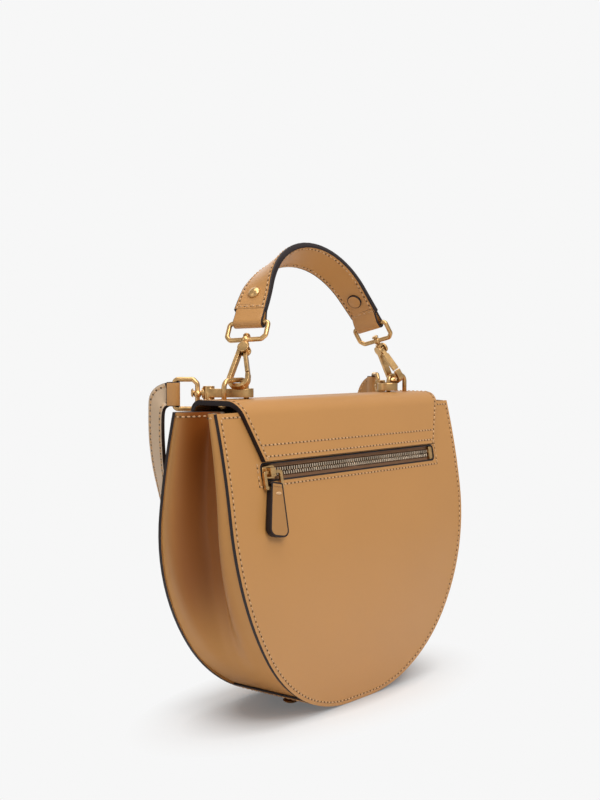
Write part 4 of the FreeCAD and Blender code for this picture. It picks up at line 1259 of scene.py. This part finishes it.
def ring_tab(name, centre, along, across, width, thickness, length, ends):
    """Folded leather tab round a ring bar, whose two ends lie at given distances from the bar's plane."""
    out = along.cross(across).normalized()
    radius = RING_WIRE + 0.15 + thickness / 2
    points = []
    for share in spread(0.0, 1.0, 6):
        ease = radius + (ends[0] - radius) * step(0.1, 0.9, 1 - share)
        points.append(centre + along * (length * (1 - share)) + out * ease)
    for angle in spread(0.0, math.pi, 15)[1:-1]:
        points.append(centre + out * (radius * math.cos(angle)) - along * (radius * math.sin(angle)))
    for share in spread(0.0, 1.0, 6):
        ease = -radius + (ends[1] + radius) * step(0.1, 0.9, share)
        points.append(centre + along * (length * share) + out * ease)
    return ribbon(name, points, [across] * len(points), width, thickness, 0.4, 5)


class HANDBAG_OT_handle(bpy.types.Operator):
    """Short handle, its ring tabs, rivets and discs"""

    bl_idname = "handbag.handle"
    bl_label = "Handle"

    def execute(self, context):
        s = sizes()
        width = s.strap_width / MM
        points, widths = handle_run()
        thick = HANDLE_THICK
        handle = ribbon("handle_leather", points, widths, width, thick, 0.8)
        tabs = []
        for name, at, side in (("left", 0, 1), ("right", -1, -1)):
            centre = LEAN @ Vector((side * RING_BAR.x, ARCH_Y, RING_BAR.y))
            along = LEAN.to_3x3() @ Vector((-side * math.sin(LEG_LEAN), 0, math.cos(LEG_LEAN)))
            ends = (-0.9, -2.85) if side > 0 else (2.85, 0.9)
            tabs.append(ring_tab("handle_tab_" + name, centre, along, widths[at], width - 2.0,
                                 HANDLE_TAB_THICK, HANDLE_GAP + 4, ends))
        settle(handle, "handle", "tan_leather", "handle_strap")
        for tab in tabs:
            settle(tab, "handle", "tan_leather")
        normals = ribbon_normals(points, widths)
        seams = ribbon_seams(points, widths, width, thick, HANDLE_SEAM)
        reach = width / 2 - HANDLE_SEAM
        for at, neighbour in ((0, 1), (-1, -2)):
            end = points[at] + (points[neighbour] - points[at]).normalized() * HANDLE_SEAM
            for facing in (normals[at], normals[at] * -1):
                line = [end + widths[at] * v + facing * (thick / 2) for v in spread(reach, -reach, 5)]
                seams.append((line, [facing] * len(line)))
        settle(sew("handle_topstitch", seams), "handle", "tan_leather")
        rivets, discs = [], []
        for at in (RIVET_STATION, len(points) - 1 - RIVET_STATION):
            rivets.append(self.rivet(points[at], normals[at] * -1, thick))
            discs.append(self.disc(points[at], normals[at], thick))
        settle(join(rivets, "handle_rivet_heads"), "handle", "antique_brass", "handle_rivets")
        settle(join(discs, "handle_discs"), "handle", "tan_leather", "handle_caps")
        return {"FINISHED"}

    def seat(self, obj, place, facing, height):
        """Put a round piece on a face of the strap."""
        turn = facing.to_track_quat("Z", "Y").to_matrix().to_4x4()
        obj.matrix_world = Matrix.Translation((place + facing * height) * MM) @ turn
        fix_place(obj)
        return obj

    def rivet(self, place, facing, thick):
        """Domed brass head."""
        deselect()
        bpy.ops.mesh.primitive_uv_sphere_add(segments=40, ring_count=20, radius=1.0)
        obj = bpy.context.object
        obj.scale = (RIVET_RADIUS * MM, RIVET_RADIUS * MM, RIVET_RISE * MM)
        fix_place(obj)
        dress(obj, "brass")
        bpy.ops.object.shade_smooth()
        return self.seat(obj, place, facing, thick / 2 + 0.1)

    def disc(self, place, facing, thick):
        """Leather disc with a dark rim."""
        deselect()
        bpy.ops.mesh.primitive_cylinder_add(vertices=40, radius=DISC_RADIUS * MM, depth=DISC_THICK * MM)
        obj = bpy.context.object
        dress(obj, "leather", "edge")
        for polygon in obj.data.polygons:
            polygon.material_index = 0 if polygon.normal.z > 0.5 else 1
        round_edges(obj, 0.55 * MM, 3, 40.0, 1)
        soft_shading(obj, 50.0)
        return self.seat(obj, place, facing, thick / 2 + 0.1)


# Shoulder strap
STRAP_TURN = math.radians(50.0)
STRAP_HEIGHT = 180.15
HOOK_TO_RING = 39.5
DROP_HALF = 80.0
DROP_BOW = 18.0
DROP_FRONT = -44.0
DROP_FLOOR = 35.0
DROP_ROUND = 45.0
TAB_LENGTH = 9.0
TAB_SEEN = 4.0
TAB_THICK = 1.5
STRAP_SEAM = 1.9
STRAP_STEP = 1.5
STRAP_EASING = 26


def strap_start():
    """Ring bar of the left strap hook, its direction and the first run of the strap."""
    along = Vector((math.cos(STRAP_TURN), -math.sin(STRAP_TURN), 0))
    bar = Vector((68.0, ARCH_Y, STRAP_HEIGHT)) + along * HOOK_TO_RING
    run = (along + Vector((0, -0.5, 0))).normalized()
    return bar, Vector((0, 0, 1)), run


def strap_stations():
    """Places and width directions of the left half of the hanging strap, from its ring to the middle."""
    bar, across, run = strap_start()
    level = Vector((0, -1, 0))
    hang = Vector((-0.5, -0.87, 0))
    beside = Vector((-0.17, -0.98, 0))
    low = DROP_FLOOR + DROP_ROUND
    begin = bar + run * 3.2
    end = bar + run * (TAB_LENGTH + 1.0)
    x = DROP_HALF
    stations = [
        (begin, across), (end, across),
        (Vector((x + DROP_BOW, DROP_FRONT + 3.0, end.z - 6)), across * 0.75 + beside * 0.6),
        (Vector((x + DROP_BOW, DROP_FRONT + 3.0, end.z - 13)), across * 0.3 + beside * 0.8),
        (Vector((x + DROP_BOW, DROP_FRONT + 3.0, end.z - 25)), beside),
        (Vector((x + DROP_BOW * 0.85, DROP_FRONT + 2.5, end.z - 42)), beside * 0.7 + hang * 0.3),
        (Vector((x + DROP_BOW * 0.35, DROP_FRONT + 1.0, end.z - 72)), hang),
        (Vector((x, DROP_FRONT, low)), hang)]
    for share in spread(0.0, 1.0, 9)[1:]:
        angle = share * math.pi / 2
        at = Vector((x - DROP_ROUND + DROP_ROUND * math.cos(angle), DROP_FRONT,
                     low - DROP_ROUND * math.sin(angle)))
        turned = (1 - share) ** 2
        stations.append((at, hang * turned + level * (1 - turned)))
    stations.append((Vector((0, DROP_FRONT, DROP_FLOOR)), level))
    return stations


def strap_run():
    """Middle points of the hanging strap from left to right, with width directions."""
    stations = strap_stations()
    places, turns = [stations[0][0]], [stations[0][1]]
    for (a, u), (b, w) in zip(stations, stations[1:]):
        count = max(int((b - a).length / STRAP_STEP), 1)
        places += [a.lerp(b, (k + 1) / count) for k in range(count)]
        turns += [u.lerp(w, (k + 1) / count) for k in range(count)]
    flip = Vector((-1, 1, 1))
    places += [p * flip for p in reversed(places[:-1])]
    turns += [w * flip for w in reversed(turns[:-1])]
    for _ in range(STRAP_EASING):
        places = eased(places)
        turns = eased(turns)
    return places, squared(places, turns)


def eased(run):
    """The same run with each inner value drawn towards its neighbours."""
    inner = [(a + b * 2 + c) / 4 for a, b, c in zip(run, run[1:], run[2:])]
    return [run[0]] + inner + [run[-1]]


def paint_underside(obj, points, widths):
    """Pale underside on the faces that look towards the ring side of the strap."""
    obj.data.materials.append(finishes()["flesh"])
    pale = len(obj.data.materials) - 1
    centres = [p * MM for p in points]
    normals = ribbon_normals(points, widths)
    for polygon in obj.data.polygons:
        if polygon.material_index == 0:
            near = min(range(len(centres)), key=lambda i: (centres[i] - polygon.center).length_squared)
            if polygon.normal.dot(normals[near]) < -0.3:
                polygon.material_index = pale


class HANDBAG_OT_shoulder_strap(bpy.types.Operator):
    """Shoulder strap with its ring tabs"""

    bl_idname = "handbag.shoulder_strap"
    bl_label = "Shoulder strap"

    def execute(self, context):
        s = sizes()
        width = s.shoulder_width / MM
        thick = s.strap / MM
        points, widths = strap_run()
        strap = ribbon("strap_leather", points, widths, width, thick, 0.5)
        paint_underside(strap, points, widths)
        settle(strap, "flap", "tan_leather", "shoulder_strap")
        seams = ribbon_seams(points, widths, width, thick, STRAP_SEAM)
        settle(sew("strap_topstitch", seams), "flap", "tan_leather")
        bar, across, run = strap_start()
        pinch = thick / 2 + 0.1 + TAB_THICK / 2
        for name, side in (("left", 1), ("right", -1)):
            flip = Vector((side, 1, 1))
            tab = ring_tab("strap_tab_leather_" + name, bar * flip, run * flip, across * flip,
                           width + 0.4, TAB_THICK, TAB_SEEN, (pinch, -pinch))
            settle(tab, "flap", "tan_leather", "strap_tab_" + name)
        return {"FINISHED"}


# Zip
ZIP_TILT = math.atan((depth_at(ZIP_HEIGHT - 1) - depth_at(ZIP_HEIGHT + 1)) / 2)
ZIP_UP = Vector((0, -math.sin(ZIP_TILT), math.cos(ZIP_TILT)))
ZIP_OUT = Vector((0, math.cos(ZIP_TILT), math.sin(ZIP_TILT)))
TOOTH_ROW = 79.0
SLIDER_AT = 77.5
PULL_SWAY = math.radians(-17.0)
PULL_GROWTH = 1.22
PULL_SHIFT = -2.0
BAIL_GROWTH = 1.3
BAIL_SHIFT = -1.2
TAPE_HALF = 87.2
TAPE_LEVEL = -2.6
TOOTH_SIZE = (1.0, 2.0, 2.13)
TOOTH_LEVEL = -2.1
TOOTH_RISE = 1.185
STOP_GROWTH = 1.6


def on_zip(x, out, up):
    """Point on the zip, from its middle: along it, out of the panel and up across it."""
    return Vector((x, depth_at(ZIP_HEIGHT), ZIP_HEIGHT)) + ZIP_OUT * out + ZIP_UP * up


def tooth_shape():
    """One zip tooth, modelled once: a bevelled block with a narrower tip."""
    deselect()
    bpy.ops.mesh.primitive_cube_add(size=1.0)
    tooth = bpy.context.object
    tooth.scale = TOOTH_SIZE
    fix_place(tooth)
    for vertex in tooth.data.vertices:
        if vertex.co.z < 0:
            vertex.co.x *= 0.82
            vertex.co.y *= 0.8
    round_edges(tooth, 0.22, 1, 30.0)
    return pattern(tooth)


class HANDBAG_OT_zip(bpy.types.Operator):
    """Zip tapes, teeth and end stops"""

    bl_idname = "handbag.zip"
    bl_label = "Zip"

    def execute(self, context):
        for name, side in (("upper", 1), ("lower", -1)):
            rows = []
            for up in spread(2.55, 9.0, 6):
                wave = 0.12 * math.sin(up * 1.4)
                rows.append([on_zip(x, TAPE_LEVEL + wave, side * up)
                             for x in spread(TAPE_HALF * side, -TAPE_HALF * side, 60)])
            tape = lattice("zip_tape_cloth_" + name, rows)
            dress(tape, "tape", "tape")
            thicken(tape, CLOTH_THICK * MM, 0.0)
            soft_shading(tape)
            settle(tape, "bag", "zip_tape", "zip_tape_" + name)
        tooth = tooth_shape()
        pitch = sizes().tooth_pitch / MM
        for name, side in (("upper", 1), ("lower", -1)):
            turn = Matrix((Vector((1, 0, 0)), ZIP_OUT * -1, ZIP_UP * side)).transposed()
            places, faces = [], []
            shift = 0.0 if side > 0 else pitch / 2
            for i in range(int(2 * TOOTH_ROW / pitch)):
                x = -TOOTH_ROW + 0.6 + shift + i * pitch
                lay(tooth, turn, on_zip(x, TOOTH_LEVEL, side * TOOTH_RISE), places, faces)
            row = from_copies("zip_row_" + name, places, faces)
            choose(row)
            bpy.ops.object.mode_set(mode="EDIT")
            bpy.ops.mesh.select_all(action="SELECT")
            bpy.ops.mesh.normals_make_consistent(inside=False)
            bpy.ops.object.mode_set(mode="OBJECT")
            dress(row, "teeth")
            settle(row, "bag", "antique_brass", "zip_teeth_" + name)
        stops = machined("zip_stops", "bag", "bright", "antique_brass", 0.2)
        middle = on_zip(0.0, 0.0, 0.0)
        for vertex in stops.data.vertices:
            point = vertex.co / MM
            if point.x < 0:
                out = (point - middle).dot(ZIP_OUT) + 0.9
                up = (point - middle).dot(ZIP_UP) * STOP_GROWTH
                vertex.co = on_zip(-80.9 + (point.x + 80.3) * STOP_GROWTH, out, up) * MM
        return {"FINISHED"}


def widen(obj, factor, shift):
    """Make a piece of the puller wider about the slider and move it along the zip."""
    aside = Matrix.Translation((shift * MM, 0, 0))
    reshape(obj, aside @ Matrix.Diagonal((factor, 1, 1, 1)), (SLIDER_AT * MM, 0, 0))


class HANDBAG_OT_puller(bpy.types.Operator):
    """Zip slider, wire bail and leather pull"""

    bl_idname = "handbag.puller"
    bl_label = "Zip puller"

    def execute(self, context):
        slider = cast("zip_slider", "zip_slider", "bright", "antique_brass", 0.18, 4)
        channel = self.block(SLIDER_AT, (12.0, 2.76, 3.0))
        apply_modifier(slider, "BOOLEAN", operation="DIFFERENCE", object=channel, solver="EXACT")
        bpy.data.objects.remove(channel)
        neck = self.block(SLIDER_AT + 3.1, (2.6, 3.2, 0.12))
        dress(neck, "bright")
        join([slider, neck], slider.name)
        bail = cast("zip_pull_wire", "zip_pull", "bright", "antique_brass", 0.15, 8)
        widen(bail, BAIL_GROWTH, BAIL_SHIFT)
        tab = copy_node("zip_pull_tab", "zip_pull_leather")
        dress(tab, "pull", "edge")
        pick(tab, "FACE", lambda polygon: abs(polygon.normal.dot(ZIP_OUT)) > 0.9)
        bpy.ops.mesh.inset(thickness=0.9 * MM, use_even_offset=True)
        bpy.ops.object.mode_set(mode="OBJECT")
        for polygon in tab.data.polygons:
            polygon.material_index = 0 if polygon.select else 1
        round_edges(tab, 0.3 * MM, 2, 40.0)
        soft_shading(tab, 40.0)
        settle(tab, "zip_pull", "tan_leather", "zip_pull_tab")
        low, high = (corner * 1000 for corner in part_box("zip_pull_tab"))
        stitch = settle(self.stitch((low.x + high.x) / 2 + 1.6, high.z - 6.0), "zip_pull", "tan_leather")
        eye = Vector(((low.x + high.x) / 2, high.y, high.z - 2)) * MM
        for obj in (tab, stitch):
            widen(obj, PULL_GROWTH, PULL_SHIFT)
            reshape(obj, Matrix.Rotation(PULL_SWAY, 4, ZIP_OUT), eye)
        return {"FINISHED"}

    def block(self, x, size):
        """Box between the plates of the slider."""
        deselect()
        bpy.ops.mesh.primitive_cube_add(size=MM)
        obj = bpy.context.object
        obj.scale = size
        obj.location = on_zip(x, TOOTH_LEVEL, 0.0) * MM
        obj.rotation_euler = (ZIP_TILT, 0, 0)
        fix_place(obj)
        return obj

    def stitch(self, x, z):
        """One long stitch across the top of the pull."""
        deselect()
        bpy.ops.mesh.primitive_uv_sphere_add(segments=16, ring_count=8, radius=1.0)
        obj = bpy.context.object
        obj.name = "zip_pull_stitch"
        obj.scale = (1.9 * MM, 0.5 * MM, 0.8 * MM)
        obj.location = Vector((x, pull_face(z), z)) * MM
        obj.rotation_euler = (ZIP_TILT, -PULL_SWAY, 0)
        fix_place(obj)
        dress(obj, "thread")
        bpy.ops.object.shade_smooth()
        return obj


def pull_face(z):
    """Outer face of the leather pull at a height."""
    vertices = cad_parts["zip_pull_tab"].data.vertices
    farthest = max((vertex.co * 1000).dot(ZIP_OUT) for vertex in vertices)
    return (farthest - z * ZIP_OUT.z) / ZIP_OUT.y


# Hardware
HOOK_GROWTH = 1.22


def turn_ring(ring):
    """Left handle ring swivelled on the post of its hook, as the strap pulls it."""
    bar = LEAN @ Vector((RING_BAR.x, ARCH_Y, RING_BAR.y))
    post = LEAN.to_3x3() @ Vector((-math.sin(LEG_LEAN), 0, math.cos(LEG_LEAN)))
    reshape(ring, Matrix.Rotation(HANDLE_TURN, 4, post), bar * MM)


class HANDBAG_OT_hardware(bpy.types.Operator):
    """Hooks, gates, rings, arches and their fixings"""

    bl_idname = "handbag.hardware"
    bl_label = "Hardware"

    def execute(self, context):
        for side in ("left", "right"):
            cast("handle_hook_" + side, "handle", "brass", "antique_brass")
            hook = cast("strap_hook_" + side, "flap", "brass", "antique_brass")
            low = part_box("strap_hook_" + side)[0].z
            for vertex in hook.data.vertices:
                vertex.co.z = low + (vertex.co.z - low) * HOOK_GROWTH
            for kind in ("handle", "strap"):
                gate = kind + "_gate_" + side
                cast(gate, gate, "brass", "antique_brass", 0.24, 2)
            ring = machined("handle_ring_" + side, "handle", "brass", "antique_brass", 0.0)
            if side == "left":
                turn_ring(ring)
            machined("strap_ring_" + side, "flap", "brass", "antique_brass", 0.0)
            machined("arch_" + side, "flap", "brass", "antique_brass", 0.0)
        dress_node("arch_screws", "brass")
        return {"FINISHED"}


# Stage
CAMERA_AT = (0.56165, 0.44149, 0.20496)
CAMERA_YAW = math.radians(50.69)
CAMERA_PITCH = math.radians(2.43)
CAMERA_LENS = 54.04
LAMP_AIM = Vector((0, 0, 0.11))
LAMPS = (
    ("key", (0.35, 1.0, 1.05), 0.7, 10.5),
    ("top", (0.0, 0.1, 1.3), 0.9, 9.4),
    ("fill", (1.2, -0.3, 0.5), 0.8, 2.0),
    ("front", (-0.6, -1.1, 0.8), 0.9, 3.5))
STUDIO_WHITE = (1.0, 0.99, 0.97, 1.0)


class HANDBAG_OT_stage(bpy.types.Operator):
    """Floor, lights, background and camera"""

    bl_idname = "handbag.stage"
    bl_label = "Stage"

    def execute(self, context):
        scene = context.scene
        scene.view_settings.view_transform = "Standard"
        self.floor()
        self.world(scene)
        for name, place, size, power in LAMPS:
            self.lamp(name, place, size, power)
        self.camera(scene)
        return {"FINISHED"}

    def camera(self, scene):
        """Camera behind the bag and to one side."""
        data = bpy.data.cameras.new("camera")
        data.lens = CAMERA_LENS
        data.sensor_width = 36.0
        data.clip_start = 0.01
        camera = link("camera", data)
        back = Vector((math.sin(CAMERA_YAW) * math.cos(CAMERA_PITCH),
                       math.cos(CAMERA_YAW) * math.cos(CAMERA_PITCH), math.sin(CAMERA_PITCH)))
        camera.location = CAMERA_AT
        camera.rotation_euler = back.to_track_quat("Z", "Y").to_euler()
        scene.camera = camera

    def lamp(self, name, place, size, power):
        """Soft square lamp that looks at the bag."""
        data = bpy.data.lights.new(name, "AREA")
        data.size = size
        data.energy = power
        lamp = link(name, data)
        lamp.location = place
        lamp.rotation_euler = (LAMP_AIM - Vector(place)).to_track_quat("-Z", "Y").to_euler()

    def floor(self):
        """Pale floor that keeps the soft rendered shadow, with a dark contact shadow painted under the bag,
        and melts into the background.
        """
        deselect()
        bpy.ops.mesh.primitive_circle_add(vertices=96, radius=3.0, fill_type="NGON", location=(0, 0, -0.0002))
        floor = bpy.context.object
        floor.name = "floor"
        fix_place(floor)
        colour = tuple(finish_colours().background) + (1.0,)
        paint = Paint("pale_floor")
        rays = paint.node("ShaderNodeLightPath")
        seen = Value(paint, rays.outputs["Is Camera Ray"]) + Value(paint, rays.outputs["Is Transmission Ray"])
        near = self.pool(paint, (6.8, 14.0, 5.0))
        # Painted shadow: a dark spot under the bag, mixed into the floor colour.
        dark = (self.pool(paint, (8.6, 25.0, 8.0)) * 1.5).clamped()
        tone = paint.mix(dark, (0.82, 0.82, 0.82, 1.0), (0.17, 0.16, 0.16, 1.0))
        pale = paint.node("ShaderNodeBsdfDiffuse", None, {"Color": colour})
        shaded = paint.node("ShaderNodeBsdfDiffuse", None, {"Color": tone})
        light = paint.node("ShaderNodeEmission", None, {"Color": colour, "Strength": 1.0})
        away = 1 - (near * 1.8).clamped() * 0.85
        looked_at = paint.between(away, shaded, light)
        floor.data.materials.append(paint.show(paint.between(seen.clamped(), pale, looked_at)))

    def pool(self, paint, scale):
        """Round spot in the middle of the floor that fades outwards."""
        spot = paint.node("ShaderNodeTexGradient", {"gradient_type": "SPHERICAL"}, {
            "Vector": paint.place(scale)})
        return Value(paint, spot.outputs["Fac"])

    def world(self, scene):
        """White studio for the eye and for reflections, softer light for the object."""
        colour = tuple(finish_colours().background) + (1.0,)
        paint = Paint("studio", world=True)
        rays = paint.node("ShaderNodeLightPath").outputs
        seen = Value(paint, rays["Is Camera Ray"])
        seen = seen.math("MAXIMUM", seen, rays["Is Transmission Ray"])
        soft = paint.node("ShaderNodeBackground", None, {"Color": STUDIO_WHITE, "Strength": 0.24})
        plain = paint.node("ShaderNodeBackground", None, {"Color": colour, "Strength": 1.0})
        bright = paint.node("ShaderNodeBackground", None, {"Color": STUDIO_WHITE, "Strength": 0.55})
        studio = paint.between(seen, soft, plain)
        scene.world = paint.show(paint.between(rays["Is Glossy Ray"], studio, bright))


class HANDBAG_PT_parts(bpy.types.Panel):
    """Pieces of the handbag"""

    bl_label = "Handbag"
    bl_idname = "HANDBAG_PT_parts"
    bl_space_type = "VIEW_3D"
    bl_region_type = "UI"
    bl_category = "Handbag"

    def draw(self, context):
        column = self.layout.column()
        for group in (context.scene.handbag_sizes, context.scene.handbag_finish):
            for name in group.__annotations__:
                column.prop(group, name)
        for piece in PIECES:
            column.operator(piece.bl_idname)


PIECES = (
    HANDBAG_OT_stage, HANDBAG_OT_panels, HANDBAG_OT_gusset, HANDBAG_OT_base, HANDBAG_OT_linings,
    HANDBAG_OT_flap, HANDBAG_OT_handle, HANDBAG_OT_shoulder_strap, HANDBAG_OT_zip,
    HANDBAG_OT_puller, HANDBAG_OT_hardware)
CLASSES = (HandbagSizes, HandbagFinish) + PIECES + (HANDBAG_PT_parts,)


def register():
    """Make the classes and their settings known."""
    for item in CLASSES:
        bpy.utils.register_class(item)
    bpy.types.Scene.handbag_sizes = bpy.props.PointerProperty(type=HandbagSizes)
    bpy.types.Scene.handbag_finish = bpy.props.PointerProperty(type=HandbagFinish)


def unregister():
    """Take the classes and their settings away again."""
    del bpy.types.Scene.handbag_finish
    del bpy.types.Scene.handbag_sizes
    for item in reversed(CLASSES):
        bpy.utils.unregister_class(item)


def main():
    """Build the whole bag."""
    register()
    bpy.ops.handbag.stage()
    bpy.ops.handbag.panels()
    bpy.ops.handbag.gusset()
    bpy.ops.handbag.base()
    bpy.ops.handbag.linings()
    bpy.ops.handbag.flap()
    bpy.ops.handbag.handle()
    bpy.ops.handbag.shoulder_strap()
    bpy.ops.handbag.zip()
    bpy.ops.handbag.puller()
    bpy.ops.handbag.hardware()
    deselect()


if __name__ == "__main__":
    main()
